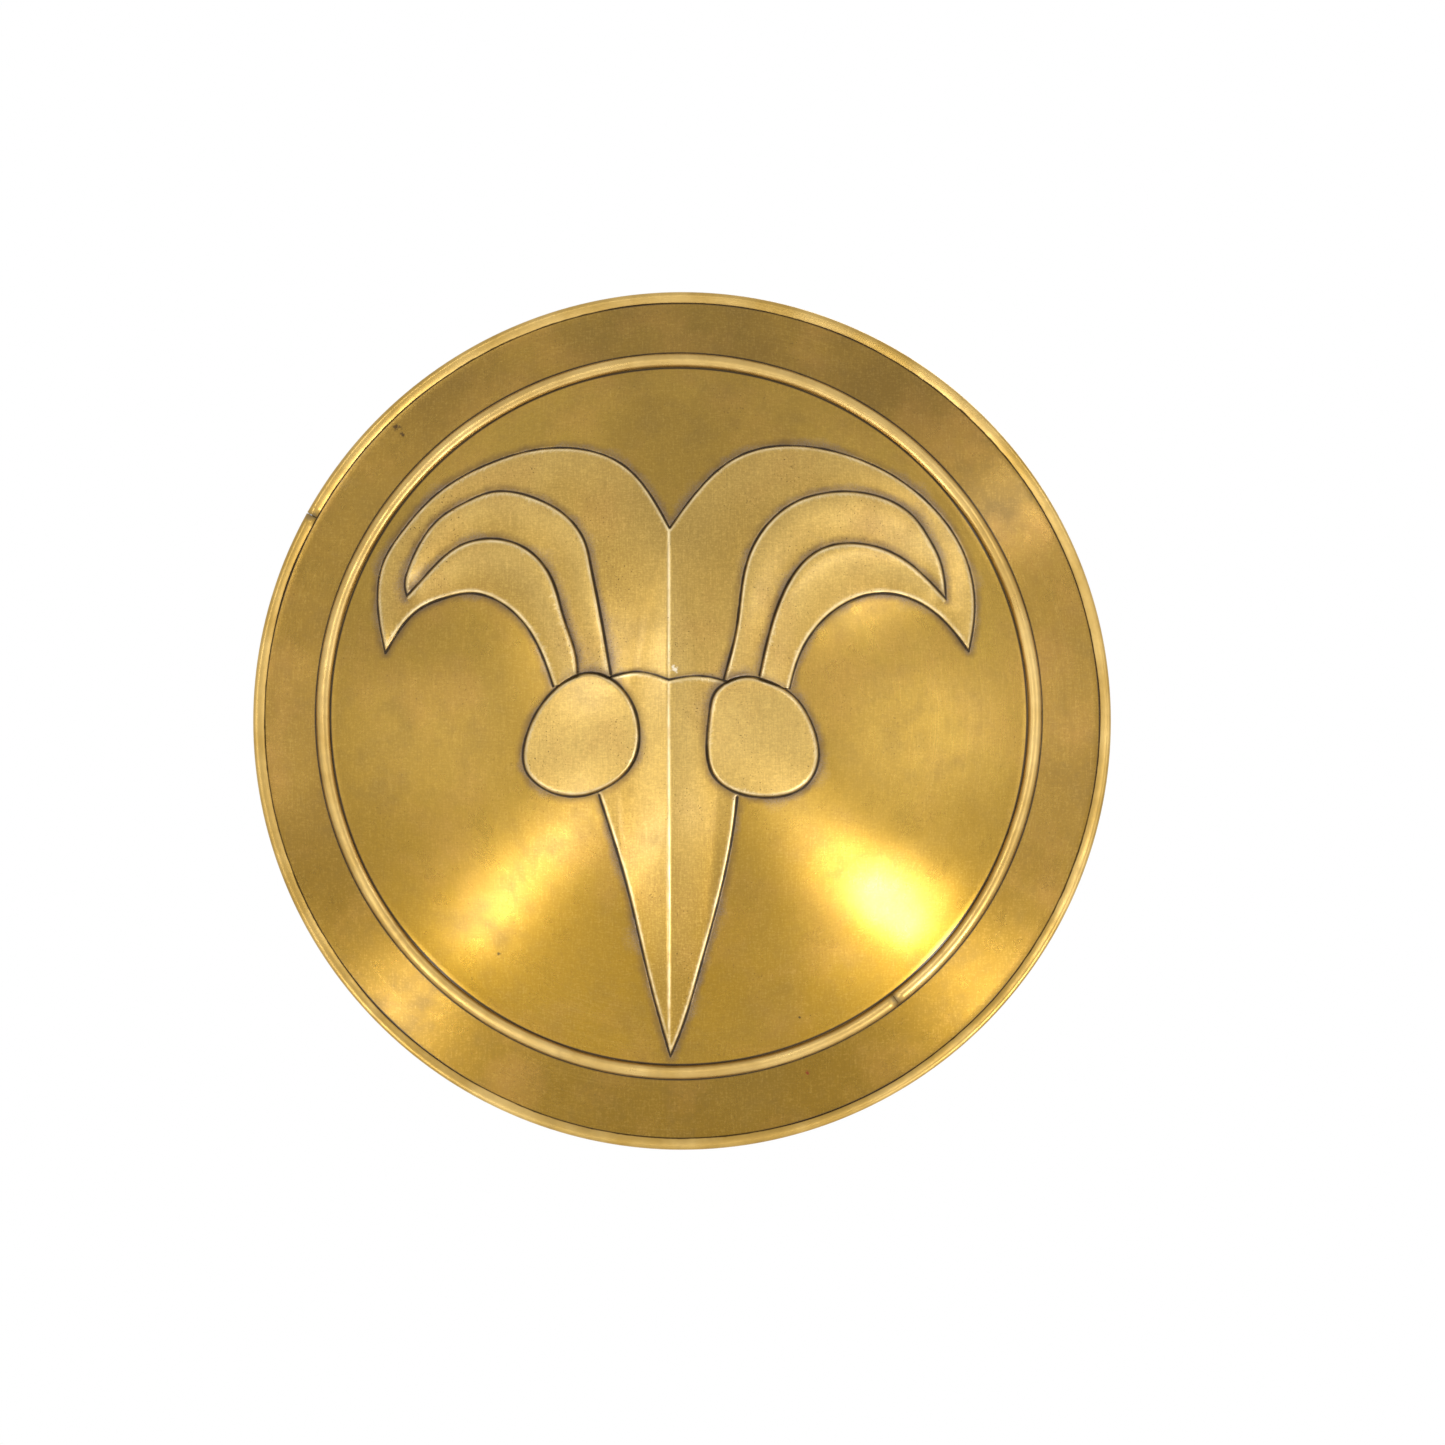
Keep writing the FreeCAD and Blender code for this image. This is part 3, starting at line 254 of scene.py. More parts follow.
# Old hand-rubbed metal: soft clouds, fine speckle and tarnish
def agedMetalGroup():
    steps = agedSteps
    group, start, end = newGroup("agedMetal", [
        ("Where", "Vector", None), ("Metal", "Color", (0.45, 0.28, 0.06, 1)),
        ("Rubbed", "Color", (0.6, 0.4, 0.1, 1)), ("Tarnish", "Color", (0.1, 0.07, 0.03, 1)),
        ("Tarnish Share", "Float", 0.25), ("Cloud Scale", "Float", 9.0),
        ("Speckle Scale", "Float", 700.0), ("Roughness", "Float", 0.35)],
        [("Colour", "Color"), ("Roughness", "Float"), ("Height", "Float")])
    given = start.outputs
    where = given["Where"]
    clouds = noise(group, where, given["Cloud Scale"], 5.0, 0.6)
    middle = noise(group, where, times(group, given["Cloud Scale"], steps["middleScale"]), 4.0, 0.6)
    fine = noise(group, where, given["Speckle Scale"], 3.0, 0.7)
    grains = noise(group, where, times(group, given["Speckle Scale"], steps["grainScale"]), 2.0, 0.6)
    rubbed = blendColour(group, stretch(group, clouds, *steps["rubbed"]), given["Metal"], given["Rubbed"])
    dusty = times(group, stretch(group, middle, *steps["dusty"]), given["Tarnish Share"])
    toned = blendColour(group, dusty, rubbed, given["Tarnish"])
    specks = times(group, stretch(group, fine, *steps["specks"]), stretch(group, grains, *steps["grains"]))
    share = times(group, specks, plus(group, given["Tarnish Share"], steps["leastSpecks"]), True)
    uneven = plus(group, given["Roughness"], stretch(group, middle, *steps["uneven"]))
    height = plus(group, times(group, fine, steps["fineHeight"]),
                  times(group, middle, steps["middleHeight"]))
    group.links.new(blendColour(group, share, toned, given["Tarnish"]), end.inputs["Colour"])
    group.links.new(plus(group, uneven, times(group, share, steps["dull"]), True), end.inputs["Roughness"])
    group.links.new(height, end.inputs["Height"])
    return group


polishSteps = {"spokes": 2.2, "lines": (0.52, 0.72), "patches": (7.0, 0.40, 0.66, 0.0, 1.0, 2.0, 0.5)}


# Fine polishing arcs that run round a centre, in patches
def ringPolishGroup():
    group, start, end = newGroup("ringPolish", [
        ("Where", "Vector", None), ("Centre", "Vector", None), ("Lines", "Float", 900.0)],
        [("Mask", "Float"), ("Height", "Float")])
    flat = flatFrom(group, start.outputs["Where"], start.outputs["Centre"])
    unit = put(group, "VectorMath", {0: flat}, operation="NORMALIZE").outputs[0]
    turned = put(group, "SeparateXYZ", {0: unit}).outputs
    out = times(group, lengthOf(group, flat), start.outputs["Lines"])
    rings = put(group, "CombineXYZ", {"X": out, "Y": times(group, turned["X"], polishSteps["spokes"]),
                                      "Z": times(group, turned["Z"], polishSteps["spokes"])})
    lines = noise(group, rings.outputs[0], 1.0, 3.0, 0.75)
    patches = patchy(group, start.outputs["Where"], *polishSteps["patches"])
    mask = times(group, stretch(group, lines, *polishSteps["lines"]), patches)
    group.links.new(mask, end.inputs["Mask"])
    group.links.new(times(group, lines, patches), end.inputs["Height"])
    return group


agedMetal = agedMetalGroup()
ringPolish = ringPolishGroup()
print("shared finishes ready")

frontBrass = {
    "domeMetal": (0.37, 0.220, 0.028),
    "domeRubbed": (0.45, 0.276, 0.040),
    "domeLow": (0.35, 0.190, 0.004),
    "brimMetal": (0.245, 0.138, 0.016),
    "brimRubbed": (0.33, 0.192, 0.026),
    "headMetal": (0.46, 0.285, 0.056),
    "headRubbed": (0.53, 0.340, 0.080),
    "tarnish": (0.085, 0.060, 0.030),
    "halo": (0.27, 0.215, 0.165),
    "grime": (0.030, 0.016, 0.006),
    "patchDark": (0.20, 0.125, 0.020),
    "patchWarm": (0.47, 0.245, 0.060),
    "grainDark": (0.16, 0.095, 0.022),
    "grainPale": (0.68, 0.46, 0.13),
    # pale rubbed brass of worn edges, laid also as a painted highlight on raised edges and the ridge
    "worn": (0.86, 0.70, 0.40),
    "shade": (0.145, 0.085, 0.030),
    "headRaised": (0.66, 0.46, 0.15),
    "brimLow": (0.225, 0.122, 0.003),
    "arc": (0.66, 0.45, 0.10),
    # single marks: right, up, radius and colour
    "marks": [(-0.2028, 0.2093, 0.0036, (0.05, 0.025, 0.008)),
              (-0.1985, 0.2032, 0.0022, (0.05, 0.025, 0.008)),
              (0.0888, -0.2492, 0.0018, (0.20, 0.025, 0.008)),
              (-0.1287, -0.1636, 0.0013, (0.05, 0.03, 0.008)),
              (0.0831, -0.2093, 0.0011, (0.05, 0.03, 0.008)),
              (0.0905, -0.2080, 0.0009, (0.05, 0.03, 0.008)),
              (-0.0050, 0.0360, 0.0030, (0.85, 0.76, 0.58))],
    "markShare": 0.85,
    "markRagged": (420.0, 0.3, 0.7),
    "cloudScale": 7.0,
    "speckleScale": 850.0,
    "polishLines": 1300.0,
    # pairs: on the plain sheet, and on the head
    "rough": (0.30, 0.36),
    "tarnishShare": (0.18, 0.10),
    "lowShare": (0.9, 0.75),
    "arcShare": (0.22, 0.05),
    "grainShare": (0.62, 1.0),
    "pitShare": (0.35, 0.75),
    "bumpShare": (0.5, 1.6),
    # where a tone starts and is full: radius, height from the centre, share of the head's height
    "brimFrom": (0.2475, 0.2500),
    "topFrom": (0.10, 0.27),
    "topShare": 0.22,
    "lowFrom": (-0.02, -0.19),
    "lowRubbed": 0.8,
    "raisedFrom": (0.45, 1.0, 0.0, 0.40),
    # noise: scale, from, to, value at each end, detail, roughness
    "darkPatches": (5.0, 0.36, 0.50, 0.30, 0.0, 3.0, 0.6),
    "warmPatches": (13.0, 0.50, 0.68, 0.0, 1.0, 4.0, 0.6),
    "warmShare": 0.30,
    "wornPatches": (70.0, 0.3, 0.62, 0.25, 0.85, 3.0, 0.6),
    "lineRagged": (130.0, 0.3, 0.7, -1.1, 1.1, 4.0, 0.7),
    "shadePatches": (24.0, 0.35, 0.62, 0.50, 0.92, 2.0),
    "haloReach": (22.0, 0.45, 0.68, 2.0, 16.0, 3.0, 0.6),
    "haloDots": (1300.0, 0.44, 0.60, 0.0, 1.0, 2.0, 0.7),
    "pits": (760.0, 0.675, 0.735, 0.0, 1.0, 1.0, 0.5),
    "pitPatches": (26.0, 0.44, 0.60, 0.0, 1.0, 2.0),
    "grooveRagged": (60.0, 0.35, 0.65, -0.1, 0.35),
    # brushed grain: noise drawn out across and up, then its dark and pale ends
    "acrossHatch": (1100.0, 200.0, 70.0),
    "upHatch": (160.0, 200.0, 1300.0),
    "grainScale": 620.0,
    "grainLow": (0.78, 1.22, 0.34, 0.0),
    "grainHigh": (1.00, 1.35, 0.0, 0.30),
    # widths of patina and dirt beside a line in millimetres, beside the bead and the rim in metres
    "shadeWidth": (0.4, 7.0),
    "haloWidth": (0.1, 1.0),
    "haloShare": (0.04, 0.42),
    "grooveWidth": (0.45, 1.35),
    "beadWidth": (0.0002, 0.0013),
    "rimFrom": (0.2955, 0.2968),
    "dirtShare": 0.92,
    "dirtRough": 0.85,
    "haloRough": 0.25,
    "arcRough": 0.3,
    "metallic": 0.95,
    "dirtMetallic": 0.2,
    "polishHeight": 0.5,
    "bumpDepth": 0.00010,
}


# Sheet brass of dome, brim and head. The mesh's attributes say how far each place is from a chased line
def makeFrontBrass():
    look = frontBrass
    mat, tree, principled, where = newMaterial("frontBrass", Anisotropic=0.45, Anisotropic_Rotation=0.25,
                                              Coat_Weight=0.32, Coat_Roughness=0.18)

    def mark(name):
        return put(tree, "Attribute", attribute_name=name).outputs["Fac"]

    def onHead(name):
        return stretch(tree, head, 0, 1, *look[name])

    def fine(name):
        return patchy(tree, where, *look[name])

    line, head, front = mark("lineDistance"), mark("headMask"), mark("frontMark")
    rubAndHighlight, low, raised = mark("rubAndHighlightMark"), mark("lowSide"), mark("raisedShare")
    centre = (shield["domeShiftRight"], 0, shield["domeShiftUp"])
    flat = flatFrom(tree, where, centre)
    radius = lengthOf(tree, flat)
    above = put(tree, "SeparateXYZ", {0: flat}).outputs["Z"]
    brim = stretch(tree, radius, *look["brimFrom"])
    metal = blendColour(tree, brim, look["domeMetal"], look["brimMetal"])
    rubbed = blendColour(tree, brim, look["domeRubbed"], look["brimRubbed"])
    metal = blendColour(tree, head, metal, look["headMetal"])
    rubbed = blendColour(tree, head, rubbed, look["headRubbed"])
    # painted shade: the plain dome and brim are darkened towards the top with the tarnish colour
    plain = maths(tree, "SUBTRACT", 1.0, head)
    paintedTopShade = times(tree, stretch(tree, above, *look["topFrom"]), plain)
    metal = blendColour(tree, times(tree, paintedTopShade, look["topShare"]), metal, look["tarnish"])
    # polish on the high relief: the raised fields turn paler, partly wear and partly a painted highlight
    raisedShare = stretch(tree, raised, *look["raisedFrom"])
    metal = blendColour(tree, raisedShare, metal, look["headRaised"])
    rubbed = blendColour(tree, raisedShare, rubbed, look["headRaised"])
    lowMetal = blendColour(tree, brim, look["domeLow"], look["brimLow"])
    lowShare = times(tree, stretch(tree, above, *look["lowFrom"]), onHead("lowShare"))
    metal = blendColour(tree, lowShare, metal, lowMetal)
    rubbed = blendColour(tree, times(tree, lowShare, look["lowRubbed"]), rubbed, lowMetal)
    aged = useGroup(tree, agedMetal, {
        "Where": where, "Metal": metal, "Rubbed": rubbed, "Tarnish": look["tarnish"],
        "Tarnish Share": onHead("tarnishShare"), "Cloud Scale": look["cloudScale"],
        "Speckle Scale": look["speckleScale"], "Roughness": onHead("rough")})
    polish = useGroup(tree, ringPolish, {"Where": where, "Centre": centre, "Lines": look["polishLines"]})
    arcs = times(tree, polish.outputs["Mask"], onHead("arcShare"))
    colour = blendColour(tree, arcs, aged.outputs["Colour"], look["arc"])
    # broad tone patches, a fine brushed grain, and pale rubbed edges, which are partly wear and partly a
    # painted highlight
    colour = blendColour(tree, fine("darkPatches"), colour, look["patchDark"])
    warm = times(tree, fine("warmPatches"), look["warmShare"])
    colour = blendColour(tree, warm, colour, look["patchWarm"])
    across = noise(tree, scaled(tree, where, look["acrossHatch"]), 1.0, 2.0, 0.6)
    upright = noise(tree, scaled(tree, where, look["upHatch"]), 1.0, 2.0, 0.6)
    brushed = times(tree, plus(tree, across, upright), 0.5)
    grain = plus(tree, brushed, noise(tree, where, look["grainScale"], 3.0, 0.7))
    dark = times(tree, stretch(tree, grain, *look["grainLow"]), onHead("grainShare"))
    pale = times(tree, stretch(tree, grain, *look["grainHigh"]), onHead("grainShare"))
    colour = blendColour(tree, dark, colour, look["grainDark"])
    colour = blendColour(tree, pale, colour, look["grainPale"])
    # pale rubbed edges: partly wear, partly a painted highlight along the raised edges and the ridge's
    # crest
    worn = times(tree, rubAndHighlight, fine("wornPatches"))
    colour = blendColour(tree, worn, colour, look["worn"])
    # brown patina and painted shade in the lower side of the chased lines, and a dusting of grey specks
    # past it
    ragged = plus(tree, low, fine("lineRagged"))
    shade = times(tree, stretch(tree, ragged, *look["shadeWidth"], 1.0, 0.0, True), fine("shadePatches"))
    colour = blendColour(tree, shade, colour, look["shade"])
    reach = maths(tree, "DIVIDE", ragged, fine("haloReach"))
    dots = stretch(tree, fine("haloDots"), 0, 1, *look["haloShare"])
    halo = times(tree, stretch(tree, reach, *look["haloWidth"], 1.0, 0.0, True), dots)
    halo = times(tree, halo, maths(tree, "SUBTRACT", 1.0, worn))
    colour = blendColour(tree, halo, colour, look["halo"])
    # sparse pits, more of them on the head
    pits = times(tree, times(tree, fine("pits"), fine("pitPatches")), onHead("pitShare"))
    colour = blendColour(tree, pits, colour, look["grime"])
    for right, up, wide, stain in look["marks"]:
        edge = patchy(tree, where, *look["markRagged"], -0.6 * wide, 0.6 * wide)
        away = plus(tree, lengthOf(tree, flatFrom(tree, where, (right, 0, up))), edge)
        spot = stretch(tree, away, 0.2 * wide, wide, look["markShare"], 0.0, True)
        colour = blendColour(tree, times(tree, spot, front), colour, stain)
    # dirt in the chased lines and beside the bead and the rim
    groove = stretch(tree, plus(tree, line, fine("grooveRagged")), *look["grooveWidth"], 1.0, 0.0, True)
    beadEdge = maths(tree, "ABSOLUTE", maths(tree, "SUBTRACT", radius, band["beadRadius"]))
    beadEdge = maths(tree, "ABSOLUTE", maths(tree, "SUBTRACT", beadEdge, band["beadHalf"]))
    beadEdge = stretch(tree, beadEdge, *look["beadWidth"], 1.0, 0.0, True)
    rimFar = lengthOf(tree, scaled(tree, where, (1, 0, 1)))
    rimEdge = stretch(tree, rimFar, *look["rimFrom"], 0.0, 1.0, True)
    dirt = larger(tree, groove, times(tree, front, larger(tree, beadEdge, rimEdge)))
    colour = blendColour(tree, times(tree, dirt, look["dirtShare"]), colour, look["grime"])
    tree.links.new(colour, principled.inputs["Base Color"])
    rough = plus(tree, aged.outputs["Roughness"], times(tree, halo, look["haloRough"]))
    rough = maths(tree, "SUBTRACT", rough, times(tree, arcs, look["arcRough"]))
    rough = larger(tree, rough, times(tree, dirt, look["dirtRough"]), True)
    tree.links.new(rough, principled.inputs["Roughness"])
    dull = times(tree, larger(tree, dirt, halo), look["dirtMetallic"])
    tree.links.new(maths(tree, "SUBTRACT", look["metallic"], dull), principled.inputs["Metallic"])
    tangent = put(tree, "Tangent", direction_type="RADIAL", axis="Y")
    tree.links.new(tangent.outputs[0], principled.inputs["Tangent"])
    height = plus(tree, times(tree, aged.outputs["Height"], onHead("bumpShare")),
                  times(tree, polish.outputs["Height"], look["polishHeight"]))
    bump(tree, principled, height, look["bumpDepth"])
    return mat


shield = {
    "footRadius": 0.2463,
    "brimRadius": 0.29595,
    "edgeRadius": 0.29985,
    "domeShiftRight": -0.0023,
    "domeShiftUp": 0.0032,
    "domeRise": 0.062,
    "footDepth": 0.0147,
    "edgeFront": 0.0032,
    "edgeBack": 0.0020,
    "thickness": 0.0012,
    "gridCells": 120,
    "backCells": 124,
    "brimRings": 12,
    "quickCells": 90,
    "quickBackCells": 60,
    "finerWithin": (0.0060, 0.0032, 0.0014),   # how near a line each halving of the grid reaches
    "snapWithin": 0.0011,
    "snapShare": 0.36,                         # of the shortest edge at a vertex
    "besideLine": 0.0006,
    "levelNearFoot": 0.02,
    "underShares": (0.25, 0.5, 0.75, 0.97),    # rings of the brim's back, rim to foot
    "lookAround": 0.0056,
    "smoothAround": 0.0060,
    "backShrink": 0.9995,
    "backShare": 0.92,
    "farOff": 40.0,                            # line distance where no line is near, in millimetres
}

# Chased lines, as shares of the dome's foot radius from the dome's centre
headLines = {
    "leftTop": [(-0.026, 0.533), (-0.167, 0.721), (-0.425, 0.759), (-0.540, 0.724), (-0.684, 0.645),
                (-0.799, 0.523), (-0.845, 0.448), (-0.858, 0.281), (-0.838, 0.181)],
    "leftUnder": [(-0.838, 0.181), (-0.743, 0.303), (-0.651, 0.341), (-0.593, 0.350), (-0.478, 0.303),
                  (-0.420, 0.238), (-0.354, 0.085)],
    "leftMiddle": [(-0.776, 0.344), (-0.782, 0.367), (-0.768, 0.436), (-0.683, 0.567), (-0.596, 0.618),
                   (-0.539, 0.639), (-0.452, 0.635), (-0.395, 0.615), (-0.337, 0.583), (-0.263, 0.488),
                   (-0.248, 0.425), (-0.234, 0.356), (-0.191, 0.119)],
    "leftInner": [(-0.776, 0.344), (-0.724, 0.400), (-0.623, 0.487), (-0.451, 0.486), (-0.364, 0.400),
                  (-0.324, 0.280), (-0.287, 0.159), (-0.284, 0.125)],
    "rightTop": [(-0.026, 0.533), (0.174, 0.742), (0.518, 0.735), (0.748, 0.577), (0.817, 0.468),
                 (0.845, 0.281), (0.828, 0.185)],
    "rightUnder": [(0.828, 0.185), (0.788, 0.238), (0.715, 0.306), (0.600, 0.349), (0.542, 0.346),
                   (0.485, 0.327), (0.345, 0.181), (0.313, 0.078)],
    "rightMiddle": [(0.762, 0.335), (0.746, 0.447), (0.718, 0.504), (0.672, 0.570), (0.488, 0.641),
                    (0.402, 0.633), (0.344, 0.615), (0.201, 0.462), (0.164, 0.260), (0.126, 0.104)],
    "rightInner": [(0.762, 0.335), (0.601, 0.469), (0.400, 0.473), (0.266, 0.274), (0.227, 0.116)],
    "leftBrow": [(-0.188, 0.113), (-0.115, 0.126), (-0.028, 0.103)],
    "rightBrow": [(-0.028, 0.103), (0.060, 0.114), (0.136, 0.099)],
    "leftMuzzle": [(-0.225, -0.222), (-0.149, -0.474), (-0.082, -0.762), (-0.024, -0.977)],
    "rightMuzzle": [(-0.024, -0.977), (0.003, -0.910), (0.063, -0.710), (0.158, -0.292), (0.165, -0.228)],
    "leftEye": [(-0.247, 0.124), (-0.359, 0.067), (-0.427, -0.044), (-0.432, -0.154), (-0.389, -0.200),
                (-0.284, -0.226), (-0.222, -0.210), (-0.127, -0.129), (-0.174, 0.094), (-0.247, 0.124)],
    "rightEye": [(0.198, 0.113), (0.144, 0.102), (0.099, 0.063), (0.085, 0.004), (0.100, -0.171),
                 (0.237, -0.229), (0.370, -0.183), (0.394, -0.129), (0.381, -0.033), (0.309, 0.070),
                 (0.257, 0.097), (0.198, 0.113)],
}
headFields = {
    "leftEyeMiddle": (-0.278, -0.061),
    "rightEyeMiddle": (0.237, -0.061),
    "leftTip": (-0.700, 0.220),
    "rightTip": (0.690, 0.220),
    "leftInnerLow": (-0.430, 0.020),
    "rightInnerLow": (0.400, 0.020),
    "ridgeRight": -0.028,
    "ridgeLow": -0.22,
    "ridgeNotch": 0.533,
    "ridgeTip": -0.977,
}
# Heights over the plain dome and the widths over which they rise, in metres
relief = {
    "hornCrest": 0.0022, "middleCrest": 0.0033, "innerCrest": 0.0041, "lobeFoot": 0.0007,
    "hornRise": 0.0017, "middleRise": 0.0018, "innerRise": 0.0019,
    "foreheadRidge": 0.0050, "muzzleRidge": 0.0066, "ridgeEnd": 0.0019, "facetSlope": 0.16,
    "browRise": 0.0016, "muzzleRise": 0.0018, "leastStep": 0.0012,
    "eyeHeight": 0.0040, "eyeRound": 0.0026, "eyeCrown": 0.0010,
    "underStep": 0.0010, "underRise": 0.0017,
    "crestFrom": 0.10, "fallPower": 0.85, "browFade": 0.016, "browTop": 0.007, "tipGrow": 0.014,
    "crownWithin": 0.030, "muzzleEdge": 0.2,
    "grooveDepth": 0.00045, "grooveHalf": 0.0008, "ridgeBead": 0.00030, "ridgeHalf": 0.0009,
    "rubAt": 0.0019, "rubHalf": 0.0008, "ridgeRubAndHighlight": 1.2, "browPatina": 1.6, "innerPatina": 0.002,
    "swell": 0.0009, "swellAt": (0.105, -0.030), "swellRadius": 0.022, "swellFade": 0.004,
    "topEdge": 0.0003, "eyePatina": 0.05,
    "wave": 0.00012, "waveRight": 0.00030, "slowShare": 0.5, "quickShare": 0.3,
    "waveRightFrom": 0.05, "waveRightOver": 0.25,
    # each wave: turns across, turns up, start and share
    "slowWaves": [(31, 11, 0.4, 1.0), (-17, 37, 2.1, 1.0), (53, 29, 4.0, 0.7)],
    "quickWaves": [(88, -61, 1.0, 1.0), (47, 97, 3.0, 1.0)],
}
lineStep = 0.0005   # between samples of a chased line

foot = shield["footRadius"]
domeRadius = (foot ** 2 + shield["domeRise"] ** 2) / (2 * shield["domeRise"])
domeBack = domeRadius - shield["footDepth"] - shield["domeRise"]


# Even samples of a natural cubic spline through the shares, in metres from the dome's centre
def smoothLine(shares):
    places = np.array(shares) * foot
    closed = shares[0] == shares[-1]
    if closed:
        places = np.vstack([places[-4:-1], places, places[1:4]])
    gaps = np.linalg.norm(np.diff(places, axis=0), axis=1)
    at = np.concatenate([[0], np.cumsum(gaps)])
    count = len(places)
    rows = np.eye(count)
    right = np.zeros((count, 2))
    for i in range(1, count - 1):
        rows[i, i - 1:i + 2] = (gaps[i - 1], 2 * (gaps[i - 1] + gaps[i]), gaps[i])
        right[i] = 6 * ((places[i + 1] - places[i]) / gaps[i] - (places[i] - places[i - 1]) / gaps[i - 1])
    curl = np.linalg.solve(rows, right)
    low, high = (at[3], at[-4]) if closed else (at[0], at[-1])
    want = np.linspace(low, high, max(int((high - low) / lineStep), 8))
    k = np.clip(np.searchsorted(at, want, side="right") - 1, 0, count - 2)
    a = ((at[k + 1] - want) / gaps[k])[:, None]
    b = 1 - a
    square = (gaps[k] ** 2)[:, None]
    bend = ((a ** 3 - a) * curl[k] + (b ** 3 - b) * curl[k + 1]) * square / 6
    return a * places[k] + b * places[k + 1] + bend


lines = {name: smoothLine(shares) for name, shares in headLines.items()}


# True for each place inside a closed loop of points
def insideOf(places, loop):
    loop = loop[::3]
    inside = np.zeros(len(places), bool)
    near = (places.min(0) < loop.max(0)).all() and (loop.min(0) < places.max(0)).all()
    if not near:
        return inside
    box = ((places > loop.min(0)) & (places < loop.max(0))).all(1)
    x, z = places[box, 0], places[box, 1]
    hit = np.zeros(len(x), bool)
    ends = np.roll(loop, -1, axis=0)
    for (x0, z0), (x1, z1) in zip(loop, ends):
        if z0 == z1:
            continue
        crosses = (z0 > z) != (z1 > z)
        hit ^= crosses & (x < (x1 - x0) * (z - z0) / (z1 - z0) + x0)
    inside[box] = hit
    return inside


# One loop through named lines and single places; a minus sign before a name runs it backwards
def loopOf(*runs):
    parts = []
    for run in runs:
        if isinstance(run, tuple):
            parts.append(np.array([run]) * foot)
        elif run.startswith("-"):
            parts.append(lines[run[1:]][::-1])
        else:
            parts.append(lines[run])
    dense = []
    whole = np.vstack(parts + [parts[0][:1]])
    for a, b in zip(whole, whole[1:]):
        count = max(int(np.linalg.norm(b - a) / lineStep), 1)
        dense.append(a + (b - a) * (np.arange(count) / count)[:, None])
    return np.vstack(dense)


loops = {
    "head": loopOf("leftTop", "leftUnder", "leftBrow", "rightBrow", "-rightUnder", "-rightTop"),
    "leftMiddle": loopOf("leftMiddle", headFields["leftEyeMiddle"], "-leftInner"),
    "rightMiddle": loopOf("rightMiddle", headFields["rightEyeMiddle"], "-rightInner"),
    "leftInner": loopOf("leftInner", headFields["leftEyeMiddle"], headFields["leftInnerLow"],
                        headFields["leftTip"]),
    "rightInner": loopOf("rightInner", headFields["rightEyeMiddle"], headFields["rightInnerLow"],
                         headFields["rightTip"]),
    "muzzle": loopOf("leftBrow", "rightBrow", headFields["rightEyeMiddle"], "-rightMuzzle", "-leftMuzzle",
                     headFields["leftEyeMiddle"]),
    "leftEye": loopOf("leftEye"),
    "rightEye": loopOf("rightEye"),
}


def treeOf(*names):
    points = np.vstack([lines[n] for n in names])
    tree = kdtree.KDTree(len(points))
    for i, (x, z) in enumerate(points):
        tree.insert((x, z, 0), i)
    tree.balance()
    return tree


def distance(places, *names):
    tree = treeOf(*names)
    return np.array([tree.find((x, z, 0))[2] for x, z in places])


def ease(value):
    value = np.clip(value, 0, 1)
    return value * value * (3 - 2 * value)


# A quarter-round: steep at nought and level at one
def rounded(value):
    value = np.clip(value, 0, 1)
    return 0.5 * np.sqrt(1 - (1 - value) ** 2) + 0.5 * ease(value)


# Two facets that meet in a ridge which dies out towards its ends
def roof(places, top):
    up = places[:, 1] / foot
    low, notch, tip = headFields["ridgeLow"], headFields["ridgeNotch"], headFields["ridgeTip"]
    share = np.where(up > low, (up - low) / (notch - low), (low - up) / (low - tip))
    crest = relief["ridgeEnd"] + (top - relief["ridgeEnd"]) * np.clip(1 - share ** 2, 0, 1)
    return crest - relief["facetSlope"] * np.abs(places[:, 0] - headFields["ridgeRight"] * foot)


# A horn's field: a quick rise inside its outer line, then a long fall to its inner one
def lobe(outer, inner, crest, rise, base):
    share = outer / np.maximum(outer + inner, 1e-9)
    share = ease(np.clip((share - relief["crestFrom"]) / (1 - relief["crestFrom"]), 0, 1))
    level = crest - (crest - relief["lobeFoot"]) * share ** relief["fallPower"]
    return base + (level - base) * rounded(outer / rise)
